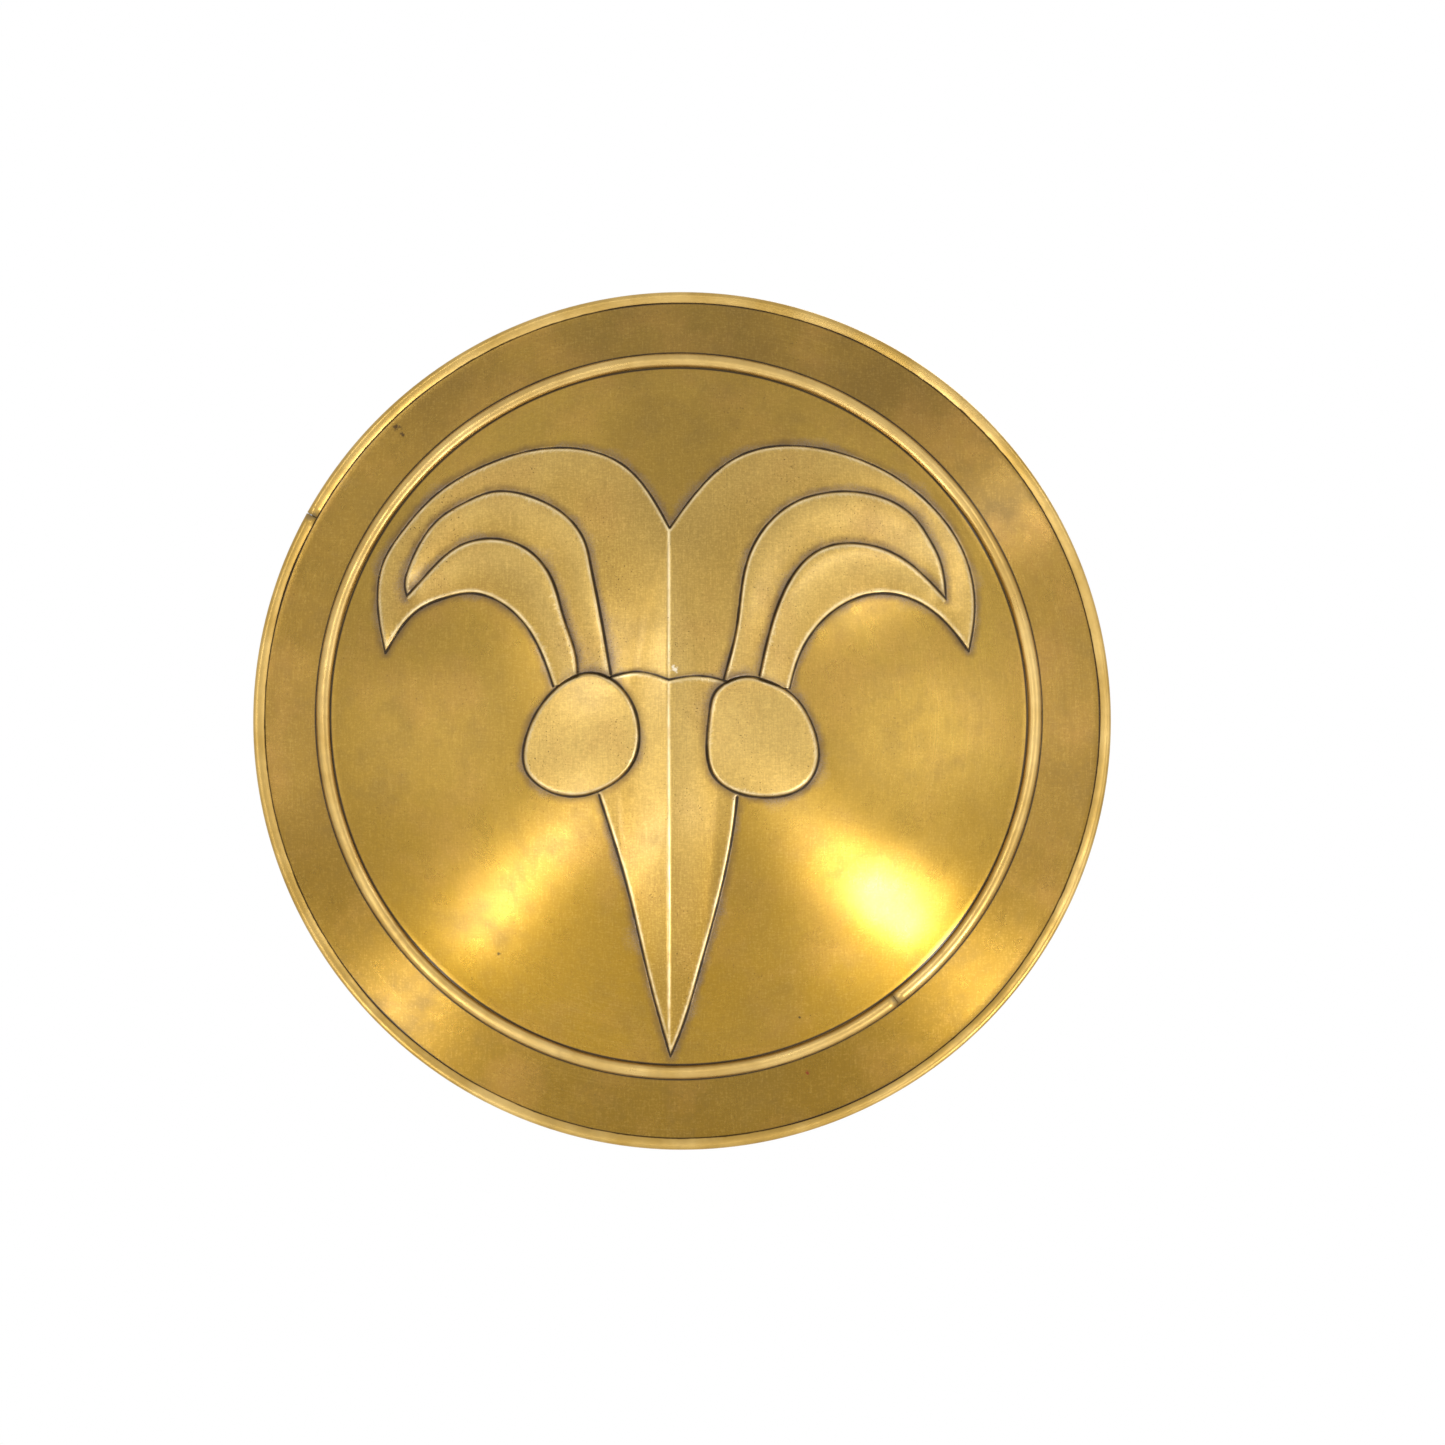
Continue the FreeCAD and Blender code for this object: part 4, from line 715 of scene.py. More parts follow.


# Height of the chased head over the plain dome, the head's mask, rubbed edges with a painted highlight, and
# the distance for patina and painted shade
def reliefHeight(places):
    r = relief
    tops = distance(places, "leftTop", "rightTop")
    unders = distance(places, "leftUnder", "rightUnder")
    middles = distance(places, "leftMiddle", "rightMiddle")
    inners = distance(places, "leftInner", "rightInner")
    brows = distance(places, "leftBrow", "rightBrow")
    sides = distance(places, "leftMuzzle", "rightMuzzle")
    eyes = distance(places, "leftEye", "rightEye")
    inside = {name: insideOf(places, loop) for name, loop in loops.items()}
    height = np.zeros(len(places))
    horn = lobe(tops, np.minimum(middles, unders), r["hornCrest"], r["hornRise"], 0)
    brow = roof(places, r["foreheadRidge"])
    brow = np.maximum(brow, r["lobeFoot"]) - r["lobeFoot"]
    brow = r["lobeFoot"] + brow * ease(middles / r["browFade"])
    brow = brow * rounded(tops / r["browTop"])
    height = np.where(inside["head"], np.maximum(horn, brow), height)
    middle = lobe(middles, inners, r["middleCrest"], r["middleRise"], r["lobeFoot"])
    inner = lobe(inners, unders, r["innerCrest"], r["innerRise"], r["lobeFoot"])
    for side in ("left", "right"):
        height = np.where(inside[side + "Middle"] & inside["head"], middle, height)
        # the inner field grows out of the horn's tip instead of starting with a step
        start = lines[side + "Middle"][0]
        across = np.array(headFields[side + "Tip"]) * foot - start
        along = np.clip((places - start) @ across / (across @ across), 0, 1)
        fromTip = np.linalg.norm(places - start - along[:, None] * across, axis=1)
        grown = horn + (inner - horn) * ease(fromTip / r["tipGrow"])
        height = np.where(inside[side + "Inner"] & inside["head"], grown, height)
    low = np.maximum(roof(places, r["foreheadRidge"]), r["lobeFoot"])
    high = np.maximum(roof(places, r["muzzleRidge"]), r["leastStep"])
    muzzle = low + (high - low) * rounded(brows / r["browRise"])
    muzzle = muzzle * (r["muzzleEdge"] + (1 - r["muzzleEdge"]) * rounded(sides / r["muzzleRise"]))
    onMuzzle = inside["muzzle"] & ~inside["head"]
    height = np.where(onMuzzle, muzzle, height)
    crown = r["eyeCrown"] * np.clip(eyes / r["crownWithin"], 0, 1)
    eye = r["lobeFoot"] + (r["eyeHeight"] - r["lobeFoot"]) * rounded(eyes / r["eyeRound"]) + crown
    onEye = inside["leftEye"] | inside["rightEye"]
    height = np.where(onEye, eye, height)
    # the ridge's crest is a narrow bead, and it and the raised edges are rubbed bright: partly wear, partly
    # a painted highlight
    aside = np.abs(places[:, 0] - headFields["ridgeRight"] * foot)
    onRidge = (inside["head"] | onMuzzle) & ~onEye
    height = height + np.where(onRidge, r["ridgeBead"] * np.exp(-(aside / r["ridgeHalf"]) ** 2), 0)
    onHorn = inside["head"] & ~onEye
    height = height + np.where(onHorn, r["underStep"] * rounded(unders / r["underRise"]), 0)
    edge = np.where(onEye, eyes, np.where(onMuzzle, np.minimum(brows, sides), 1.0))
    for side in ("left", "right"):
        edge = np.where(inside[side + "Middle"] & onHorn, middles, edge)
        edge = np.where(inside[side + "Inner"] & onHorn, inners, edge)
    edge = np.where(inside["head"] & (edge == 1.0), tops + r["topEdge"], edge)
    edge = np.where(onHorn, np.minimum(edge, unders), edge)
    rubAndHighlight = np.exp(-((edge - r["rubAt"]) / r["rubHalf"]) ** 2)
    rubAndHighlight = rubAndHighlight + r["ridgeRubAndHighlight"] * onRidge * np.exp(-(aside / r["rubHalf"]) ** 2)
    # patina and painted shade stay on the lower side of a line, where the sheet beside it stands higher
    low = np.minimum(np.minimum(tops, unders), np.minimum(sides, eyes))
    low = np.where(onHorn, np.minimum(np.minimum(middles, eyes), brows * r["browPatina"]), low)
    for side in ("left", "right"):
        low = np.where(inside[side + "Middle"] & onHorn, np.minimum(inners, eyes), low)
        low = np.where(inside[side + "Inner"] & onHorn, eyes + r["innerPatina"], low)
    low = np.where(onMuzzle, eyes, low)
    low = np.where(onEye, r["eyePatina"], low)
    # the sheet swells softly beside the right eye, where it was worked from behind
    right, up = r["swellAt"]
    apart = np.hypot(places[:, 0] - right, places[:, 1] - up)
    swell = r["swell"] * np.exp(-(apart / r["swellRadius"]) ** 2) * ease(eyes / r["swellFade"])
    height = np.where(height == 0, swell, height)
    return height, inside["head"] | inside["muzzle"] | onEye, np.clip(rubAndHighlight, 0, 1), low


# Slow hand-made unevenness of the sheet
def waviness(places):
    x, z = places[:, 0], places[:, 1]
    slow, quick = [sum(share * np.sin(across * x + up * z + start) for across, up, start, share in waves)
                   for waves in (relief["slowWaves"], relief["quickWaves"])]
    lowerRight = ease((x - z - relief["waveRightFrom"]) / relief["waveRightOver"])
    slow = relief["wave"] * slow * relief["slowShare"]
    return slow + relief["waveRight"] * lowerRight * quick * relief["quickShare"]


# Places of vertices in the plane of the rim, from the dome's centre
def flatPlaces(verts):
    return np.array([(v.co.x, v.co.z) for v in verts])


# A square grid pressed to a disc of the dome's foot radius
def makeDisc(bm, cells):
    made = bmesh.ops.create_grid(bm, x_segments=cells, y_segments=cells, size=1)["verts"]
    for v in made:
        x, z = v.co.x, v.co.y
        if abs(x) > abs(z):
            far, turn = x, math.pi / 4 * z / x
        elif z != 0:
            far, turn = z, math.pi / 2 - math.pi / 4 * x / z
        else:
            far, turn = 0, 0
        v.co = (far * math.cos(turn) * foot, 0, far * math.sin(turn) * foot)
    return made


# The ring's edges drawn out to a new radius and depth; share moves its centre from the rim's to the dome's
def pushRing(bm, edges, radius, depth, share):
    made = bmesh.ops.extrude_edge_only(bm, edges=edges)["geom"]
    verts = [g for g in made if isinstance(g, bmesh.types.BMVert)]
    middle = Vector((shield["domeShiftRight"] * share, 0, shield["domeShiftUp"] * share))
    old = sum((v.co for v in verts), Vector()) / len(verts)
    for v in verts:
        away = Vector((v.co.x - old.x, 0, v.co.z - old.z)).normalized()
        v.co = middle + away * radius
        v.co.y = -depth
    return [g for g in made if isinstance(g, bmesh.types.BMEdge) and g.is_boundary]


def makeFaceSheet():
    allNames = list(lines)
    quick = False
    bm = bmesh.new()
    makeDisc(bm, shield["quickCells"] if quick else shield["gridCells"])
    everyLine = treeOf(*allNames)
    steps = shield["finerWithin"][:1] if quick else shield["finerWithin"]
    ridgeX = headFields["ridgeRight"] * foot
    ridgeEnds = (headFields["ridgeTip"] * foot, headFields["ridgeNotch"] * foot)
    for reach in steps:
        near = []
        for e in bm.edges:
            x = (e.verts[0].co.x + e.verts[1].co.x) / 2
            z = (e.verts[0].co.z + e.verts[1].co.z) / 2
            onRidge = abs(x - ridgeX) < reach and ridgeEnds[0] < z < ridgeEnds[1]
            if onRidge or everyLine.find((x, z, 0))[2] < reach:
                near.append(e)
        bmesh.ops.subdivide_edges(bm, edges=near, cuts=1, use_grid_fill=True)
    # the finest vertices move onto the lines, so that each line is one clean crease
    points = np.vstack([lines[n] for n in allNames])
    heading = np.vstack([np.gradient(lines[n], axis=0) for n in allNames])
    heading /= np.linalg.norm(heading, axis=1)[:, None]
    places = flatPlaces(bm.verts)
    snapped, side = [], []
    for i, v in enumerate(bm.verts):
        at, index, away = everyLine.find((v.co.x, v.co.z, 0))
        if away < shield["snapWithin"]:
            shortest = min(e.calc_length() for e in v.link_edges)
            if away < shield["snapShare"] * shortest:
                places[i] = points[index]
                snapped.append(i)
                side.append((-heading[index][1], heading[index][0]))
    snapped = np.array(snapped)
    side = np.array(side) * shield["besideLine"]
    tested = np.vstack([places, places[snapped] + side, places[snapped] - side])
    height, head, rubAndHighlight, low = reliefHeight(tested)
    count, extra = len(places), len(snapped)
    height[snapped] = np.minimum(height[count:count + extra], height[count + extra:])
    height, head, rubAndHighlight, low = height[:count], head[:count], rubAndHighlight[:count], low[:count]
    raised = np.clip(height / relief["innerCrest"], 0, 1)
    apart = distance(places, *allNames)
    height -= relief["grooveDepth"] * np.exp(-(apart / relief["grooveHalf"]) ** 2)
    level = ease((foot - np.hypot(places[:, 0], places[:, 1])) / shield["levelNearFoot"])
    height += waviness(places) * level
    x0, z0 = shield["domeShiftRight"], shield["domeShiftUp"]
    for v, (x, z), lift in zip(bm.verts, places, height):
        out = math.sqrt(domeRadius ** 2 - x * x - z * z)
        v.co = (x + x0, domeBack - out - lift * domeRadius / out, z + z0)
    names = ("lineDistance", "headMask", "frontMark", "rubAndHighlightMark", "lowSide", "raisedShare")
    lineLayer, headLayer, frontLayer, rubLayer, lowLayer, raisedLayer = [
        bm.verts.layers.float.new(name) for name in names]
    for v, far, mark, bright, fall, up in zip(bm.verts, apart, head, rubAndHighlight, low, raised):
        v[lineLayer] = far * 1000
        v[headLayer] = float(mark)
        v[frontLayer] = 1.0
        v[rubLayer] = bright
        v[lowLayer] = fall * 1000
        v[raisedLayer] = up
    print("face sheet front:", len(bm.verts), "vertices,", extra, "on the lines")

    # brim: rings drawn out from the dome's foot, then the flat edge, and back under it
    ring = [e for e in bm.edges if e.is_boundary]
    count = shield["brimRings"]
    for i in range(1, count + 1):
        share = 1 - i / count
        ring = pushRing(bm, ring, shield["brimRadius"] + (foot - shield["brimRadius"]) * share,
                        shield["edgeFront"] + (shield["footDepth"] - shield["edgeFront"]) * share, share)
    ring = pushRing(bm, ring, shield["edgeRadius"], shield["edgeFront"], 0)
    frontVerts = set(bm.verts)
    ring = pushRing(bm, ring, shield["edgeRadius"], shield["edgeBack"], 0)
    ring = pushRing(bm, ring, shield["brimRadius"], shield["edgeBack"], 0)
    for share in shield["underShares"]:
        ring = pushRing(bm, ring, shield["brimRadius"] + (foot - shield["brimRadius"]) * share,
                        shield["edgeBack"] + (shield["footDepth"] - shield["edgeFront"]) * share, share)
    for v in bm.verts:
        v[frontLayer] = float(v in frontVerts)
        far = math.hypot(v.co.x - x0, v.co.z - z0)
        if v[lineLayer] == 0 and far > foot + 0.0005:
            v[lineLayer] = shield["farOff"]
            v[lowLayer] = shield["farOff"]

    # back of the sheet: a coarser disc that stays behind the lowest place of the front near it
    fronts = kdtree.KDTree(len(places))
    for i, (x, z) in enumerate(places):
        fronts.insert((x, z, 0), i)
    fronts.balance()
    back = makeDisc(bm, shield["quickBackCells"] if quick else shield["backCells"])
    shrink = shield["backShrink"]
    spots = [(v.co.x * shrink, v.co.z * shrink) for v in back]
    around = [fronts.find_range((x, z, 0), shield["lookAround"]) for x, z in spots]
    least = [min([height[i] for at, i, away in found] or [0.0]) for found in around]
    backs = kdtree.KDTree(len(spots))
    for i, (x, z) in enumerate(spots):
        backs.insert((x, z, 0), i)
    backs.balance()
    for v, (x, z) in zip(back, spots):
        lift = np.mean([least[i] for at, i, away in backs.find_range((x, z, 0), shield["smoothAround"])])
        out = math.sqrt((domeRadius - shield["thickness"]) ** 2 - x * x - z * z)
        v.co = (x + x0, domeBack - out - max(lift, -0.0001) * shield["backShare"], z + z0)
        v[lineLayer] = shield["farOff"]
        v[lowLayer] = shield["farOff"]
    backVerts = set(back)
    backRing = [e for e in bm.edges if e.is_boundary and e.verts[0] in backVerts]
    bmesh.ops.bridge_loops(bm, edges=ring + backRing)
    bmesh.ops.triangulate(bm, faces=[f for f in bm.faces if len(f.verts) > 4])
    bmesh.ops.recalc_face_normals(bm, faces=bm.faces)
    return finishPiece(bm, "faceSheet", "shield", makeFrontBrass(), "brass_sheet", "face_sheet")


band = {
    "beadRadius": 0.2519,
    "beadHalf": 0.0053,
    "beadDepth": 0.01210,
    "beadJoint": 307.5,
    "rimWireRadius": 0.3019,
    "rimJoint": 151.0,
    "jointGap": 0.00035,
    "rimGap": 1.6,          # of the bead's gap
    "spinSteps": 260,
    "beadWander": 0.00022,
    "rimWander": 0.00035,
    "wanders": [(5, 0.6, 1.0), (11, 2.0, 0.7), (23, 0.0, 0.4)],   # turns, start and share of each
    "depthWander": (17, 1.3, 0.3),
    "beadFoot": (0.0040, 0.0017, 0.0007),   # in from the middle, down to the sheet, up under the crown
    "beadSeam": 0.0001,
    "rimSeams": (0.2964, 0.3058),
    "lipRadius": 0.2968,
    "steadyFrom": 0.3000,
    "beadSweep": (154, 16),                 # degrees and steps of its round part
    # the sheet rolled round the wire, as radius and depth: it starts on the brim's front
    "rimStart": (0.2968, 0.00324),
    "rimSection": [("to", 0.2968, 0.0039), ("to", 0.2970, 0.00412), ("to", 0.30108, 0.00538),
                   ("round", (0.3019, 0.0026), -170, 14), ("to", 0.3006, 0), ("to", 0.2977, 0.00108),
                   ("to", 0.2975, 0.00125), ("to", 0.2975, 0.00194), ("to", 0.30122, 0.00066),
                   ("round", (0.3019, 0.0026), 216, 10)],
}


# A line in the plane of radius and depth, closed on its start. Moves are straight or round a centre
def sectionLine(bm, start, moves):
    first = bmesh.ops.create_vert(bm, co=(start[0], -start[1], 0))["vert"][0]
    last = first
    for kind, *values in moves:
        if kind == "to":
            made = bmesh.ops.extrude_vert_indiv(bm, verts=[last])["verts"][0]
            made.co = (values[0], -values[1], 0)
        else:
            centre, degrees, steps = values
            made = bmesh.ops.spin(bm, geom=[last], cent=(centre[0], -centre[1], 0), axis=(0, 0, -1),
                                  angle=math.radians(degrees), steps=steps)["geom_last"]
            made = [g for g in made if isinstance(g, bmesh.types.BMVert)][0]
        last = made
    bmesh.ops.contextual_create(bm, geom=[last, first])


# A section spun round the shield's axis from a joint to the same joint, with its two ends closed
def spinBand(bm, centre, joint, gap, radius):
    toJoint = Matrix.Rotation(-math.radians(joint), 3, "Y")
    bmesh.ops.rotate(bm, verts=bm.verts, cent=(0, 0, 0), matrix=toJoint)
    bmesh.ops.translate(bm, verts=bm.verts, vec=centre)
    bmesh.ops.spin(bm, geom=bm.edges[:], cent=centre, axis=(0, -1, 0), angle=2 * math.pi - gap / radius,
                   steps=band["spinSteps"])
    bmesh.ops.remove_doubles(bm, verts=bm.verts, dist=1e-6)
    bmesh.ops.holes_fill(bm, edges=[e for e in bm.edges if e.is_boundary])
    bmesh.ops.recalc_face_normals(bm, faces=bm.faces)


# Slow hand-made wandering of a band, full at its near radius and none at its far one
def wander(bm, centre, near, far, amount):
    for v in bm.verts:
        x, z = v.co.x - centre[0], v.co.z - centre[2]
        radius, turn = math.hypot(x, z), math.atan2(z, x)
        share = min(max((far - radius) / (far - near), 0), 1)
        slide = sum(part * math.sin(waves * turn + start) for waves, start, part in band["wanders"])
        slide *= amount
        v.co.x += x / radius * slide * share
        v.co.z += z / radius * slide * share
        waves, start, part = band["depthWander"]
        v.co.y += math.sin(waves * turn + start) * amount * part * share


bandBrass = {
    "bead": {"metal": (0.47, 0.30, 0.085), "rubbed": (0.66, 0.46, 0.17), "rough": 0.31},
    "rim": {"metal": (0.42, 0.262, 0.062), "rubbed": (0.60, 0.41, 0.14), "rough": 0.33},
    "tarnishShare": 0.16, "cloudScale": 12.0, "speckleScale": 700.0, "bumpDepth": 0.00002,
    "seamRagged": (90.0, 0.3, 0.7, -0.0003, 0.0003), "seamWidth": 0.0009, "dirtShare": 0.9,
    "smudge": (0.22, 0.17, 0.10), "smudgeRagged": (200.0, 0.3, 0.7, -0.002, 0.002),
    "smudgeWidth": (0.001, 0.005, 0.6), "dirtRough": 0.4,
}


# Brass of the bead and the rim: rubbed bright on top, dark in the seams beside it and at its joint
def makeBandBrass(name, joint, centre, low, high):
    look = bandBrass
    mat, tree, principled, where = newMaterial(name + "Brass", Metallic=0.93)
    aged = useGroup(tree, agedMetal, {
        "Where": where, "Metal": look[name]["metal"], "Rubbed": look[name]["rubbed"],
        "Tarnish": frontBrass["tarnish"], "Tarnish Share": look["tarnishShare"],
        "Cloud Scale": look["cloudScale"], "Speckle Scale": look["speckleScale"],
        "Roughness": look[name]["rough"]})
    radius = lengthOf(tree, flatFrom(tree, where, centre))
    ragged = plus(tree, radius, patchy(tree, where, *look["seamRagged"]))
    dirt = larger(tree, stretch(tree, ragged, low, low + look["seamWidth"], 1.0, 0.0, True),
                  stretch(tree, ragged, high - look["seamWidth"], high, 0.0, 1.0, True))
    turn = math.radians(joint)
    middle = (low + high) / 2
    spot = (centre[0] + middle * math.cos(turn), 0, centre[2] + middle * math.sin(turn))
    away = lengthOf(tree, flatFrom(tree, where, spot))
    away = plus(tree, away, patchy(tree, where, *look["smudgeRagged"]))
    smudge = stretch(tree, away, *look["smudgeWidth"], 0.0, True)
    colour = blendColour(tree, smudge, aged.outputs["Colour"], look["smudge"])
    colour = blendColour(tree, times(tree, dirt, look["dirtShare"]), colour, frontBrass["grime"])
    tree.links.new(colour, principled.inputs["Base Color"])
    dull = times(tree, larger(tree, dirt, smudge), look["dirtRough"])
    tree.links.new(plus(tree, aged.outputs["Roughness"], dull, True), principled.inputs["Roughness"])
    bump(tree, principled, aged.outputs["Height"], look["bumpDepth"])
    return mat


def makeBands():
    b = band
    dome = (shield["domeShiftRight"], 0, shield["domeShiftUp"])
    bm = bmesh.new()
    r, d, half = b["beadRadius"], b["beadDepth"], b["beadHalf"]
    inward, down, up = b["beadFoot"]
    sectionLine(bm, (r + half, d), [("round", (r, d), *b["beadSweep"]), ("to", r - inward, d + down),
                                    ("to", r, d + up)])
    spinBand(bm, dome, b["beadJoint"], b["jointGap"], r)
    wander(bm, dome, r - half, r + 4 * half, b["beadWander"])
    low, high = r - half + b["beadSeam"], r + half + b["beadSeam"]
    mat = makeBandBrass("bead", b["beadJoint"], dome, low, high)
    finishPiece(bm, "beadRing", "shield", mat, "brass_sheet", "bead_ring")

    bm = bmesh.new()
    sectionLine(bm, b["rimStart"], b["rimSection"])
    spinBand(bm, (0, 0, 0), b["rimJoint"], b["jointGap"] * b["rimGap"], b["rimWireRadius"])
    wander(bm, (0, 0, 0), b["lipRadius"], b["steadyFrom"], b["rimWander"])
    mat = makeBandBrass("rim", b["rimJoint"], (0, 0, 0), *b["rimSeams"])
    finishPiece(bm, "rimBinding", "shield", mat, "brass_sheet", "rim_binding")


makeFaceSheet()
makeBands()
print("sheet, bead and rim done")

leatherLook = {
    "hide": (0.135, 0.045, 0.010),
    "worn": (0.310, 0.130, 0.036),
    "edge": (0.035, 0.016, 0.010),
    "pore": (0.02, 0.010, 0.006),
    "thread": (0.52, 0.42, 0.27),
    "threadDark": (0.30, 0.23, 0.14),
    "grainScale": 850.0,
    "bumpDepth": 0.00022,
    "threadDepth": 0.00015,
    "creaseWidth": (0.0001, 0.0006),
    "edgeWidth": (0.0011, 0.0002),
    "edgeShare": 0.8,
    "creaseDepth": 1.6,
}
armPlace = {"base": (0.122, -0.060396, 0.0032), "turn": 13.857}
gripPlace = {"base": (-0.150, -0.0540407, 0.0032), "turn": -16.53}
hangPlace = {"base": (-0.0023, -0.0242909, 0.228), "tilt": -25.67}
backRadius = domeRadius - shield["thickness"]


# The matrix that takes a fitting built at the origin, +Y to the bearer, to its place behind the dome
def placeOf(spot):
    turn = Matrix.Rotation(math.radians(spot.get("turn", 0)), 4, "Z")
    tilt = Matrix.Rotation(math.radians(spot.get("tilt", 0)), 4, "X")
    return Matrix.Translation(spot["base"]) @ turn @ tilt


leatherSteps = {
    "driftScale": 300.0, "drift": 0.0006, "pebbles": (0.0, 0.35, 0.0, 1.0, True), "fineScale": 2600.0,
    "slow": (38.0, 0.45, 0.75, 0.0, 0.55, 4.0, 0.6), "scuffs": (210.0, 0.60, 0.78, 0.0, 1.0, 5.0, 0.72),
    "scuffWear": 0.5, "pebbleWear": (0, 1, 0.55, 1.0), "poreShare": (0.0, 0.5, 0.45, 0.0),
    "rough": (0, 1, 0.44, 0.62), "scuffRough": 0.15, "pebbleHeight": 0.7, "fineHeight": 0.3,
}


# Hide with its pebbled grain, worn paler on high places, with a few scuffs
def leatherGrainGroup():
    steps = leatherSteps
    group, start, end = newGroup("leatherGrain", [
        ("Where", "Vector", None), ("Hide", "Color", (0.15, 0.07, 0.03, 1)),
        ("Worn", "Color", (0.3, 0.15, 0.07, 1)), ("Grain Scale", "Float", 900.0)],
        [("Colour", "Color"), ("Roughness", "Float"), ("Height", "Float")])
    where = start.outputs["Where"]
    drift = put(group, "TexNoise", {"Vector": where, "Scale": steps["driftScale"]}).outputs["Color"]
    bent = put(group, "VectorMath", {0: where, 1: drift}, operation="ADD").outputs[0]
    bent = put(group, "Mix", {0: steps["drift"], 4: where, 5: bent}, data_type="VECTOR").outputs[1]
    cells = put(group, "TexVoronoi", {"Vector": bent, "Scale": start.outputs["Grain Scale"]},
                feature="DISTANCE_TO_EDGE").outputs["Distance"]
    pebbles = stretch(group, cells, *steps["pebbles"])
    fine = noise(group, where, steps["fineScale"], 3.0, 0.65)
    slow = patchy(group, where, *steps["slow"])
    scuffs = patchy(group, where, *steps["scuffs"])
    wear = plus(group, slow, times(group, scuffs, steps["scuffWear"]), True)
    wear = times(group, wear, stretch(group, pebbles, *steps["pebbleWear"]))
    toned = blendColour(group, wear, start.outputs["Hide"], start.outputs["Worn"])
    dark = blendColour(group, stretch(group, pebbles, *steps["poreShare"]), toned, leatherLook["pore"])
    rough = plus(group, stretch(group, fine, *steps["rough"]), times(group, scuffs, steps["scuffRough"]))
    height = plus(group, times(group, pebbles, steps["pebbleHeight"]),
                  times(group, fine, steps["fineHeight"]))
    group.links.new(dark, end.inputs["Colour"])
    group.links.new(rough, end.inputs["Roughness"])
    group.links.new(height, end.inputs["Height"])
    return group


leatherGrain = leatherGrainGroup()


# Places in a fitting's own directions
def ownPlaces(tree, where, spot, scale=(1, 1, 1)):
    turn = (0, 0, math.radians(spot["turn"]))
    links = {"Vector": where, "Location": spot["base"], "Rotation": turn, "Scale": scale}
    return put(tree, "Mapping", links, vector_type="TEXTURE").outputs[0]


# Strap leather, with a tooled line inside each long edge if its place is given
def makeLeather(name, spot, creaseAt=None, edgeAt=None):
    look = leatherLook
    mat, tree, principled, where = newMaterial(name, Specular_IOR_Level=0.32)
    local = ownPlaces(tree, where, spot)
    grain = useGroup(tree, leatherGrain, {"Where": local, "Hide": look["hide"], "Worn": look["worn"],
                                          "Grain Scale": look["grainScale"]})
    colour, height = grain.outputs["Colour"], grain.outputs["Height"]
    if creaseAt:
        across = maths(tree, "ABSOLUTE", put(tree, "SeparateXYZ", {0: local}).outputs["X"])
        off = maths(tree, "ABSOLUTE", maths(tree, "SUBTRACT", across, creaseAt))
        crease = stretch(tree, off, *look["creaseWidth"], 1.0, 0.0, True)
        outer, inner = look["edgeWidth"]
        edge = stretch(tree, across, edgeAt - outer, edgeAt - inner, 0.0, 1.0, True)
        dark = times(tree, larger(tree, crease, edge), look["edgeShare"])
        colour = blendColour(tree, dark, colour, look["edge"])
        height = maths(tree, "SUBTRACT", height, times(tree, crease, look["creaseDepth"]))
    tree.links.new(colour, principled.inputs["Base Color"])
    tree.links.new(grain.outputs["Roughness"], principled.inputs["Roughness"])
    bump(tree, principled, height, look["bumpDepth"])
    return mat


def makeThread():
    look = leatherLook
    mat, tree, principled, where = newMaterial("waxedThread", Roughness=0.6)
    twist = put(tree, "TexWave", {"Vector": where, "Scale": 420.0, "Distortion": 1.5},
                bands_direction="DIAGONAL").outputs["Fac"]
    colour = blendColour(tree, twist, look["threadDark"], look["thread"])
    tree.links.new(colour, principled.inputs["Base Color"])
    bump(tree, principled, twist, look["threadDepth"])
    return mat


waxedThread = makeThread()

strap = {
    "half": 0.0160,
    "thick": 0.0024,
    "edgeRound": 0.00045,
    "crease": 0.0132,
    # each fold of a centre line: standoff and height in mm, then its bend radius in mm
    "fold": [(34, 54.5, 0), (23.3, 54.5, 3.3), (15.3, 52.45, 3.3), (8.7, 52.45, 3.3), (8.7, 59.05, 3.3),
             (15.3, 59.05, 3.3), (23.3, 57, 3.3)],
    "short": [(48.7, 57, 12), (48.7, 7.3, 3.3), (50.75, -0.7, 3.3), (50.75, -7.3, 3.3), (44.15, -7.3, 3.3),
              (44.15, -0.7, 3.3), (46.2, 7.3, 3.3), (46.2, 42.6, 0)],
    "long": [(46.2, 57, 12), (46.2, 23.6, 8), (53.75, 6, 2), (53.75, 0, 8), (51.7, -12, 8), (51.7, -54, 0)],
    "slots": [-30.5, -10.5, 9.5, 29.5],
    "slotHalf": (0.0019, 0.0068),
    "tailClip": 0.009,
    "rivetAt": [(-8, 27.8), (8, 27.8)],
    "rivetHole": (0.00183, 0.012),    # radius and length of the cutter
    "rivetUp": 0.0560,
    "tonguePunch": ((-0.0031, 0.0405, -0.0150), (0.0031, 0.0545, -0.0001)),
    "slotDepth": (0.0420, 0.0570),
    "tailEnd": (0.05, 0.036),
}


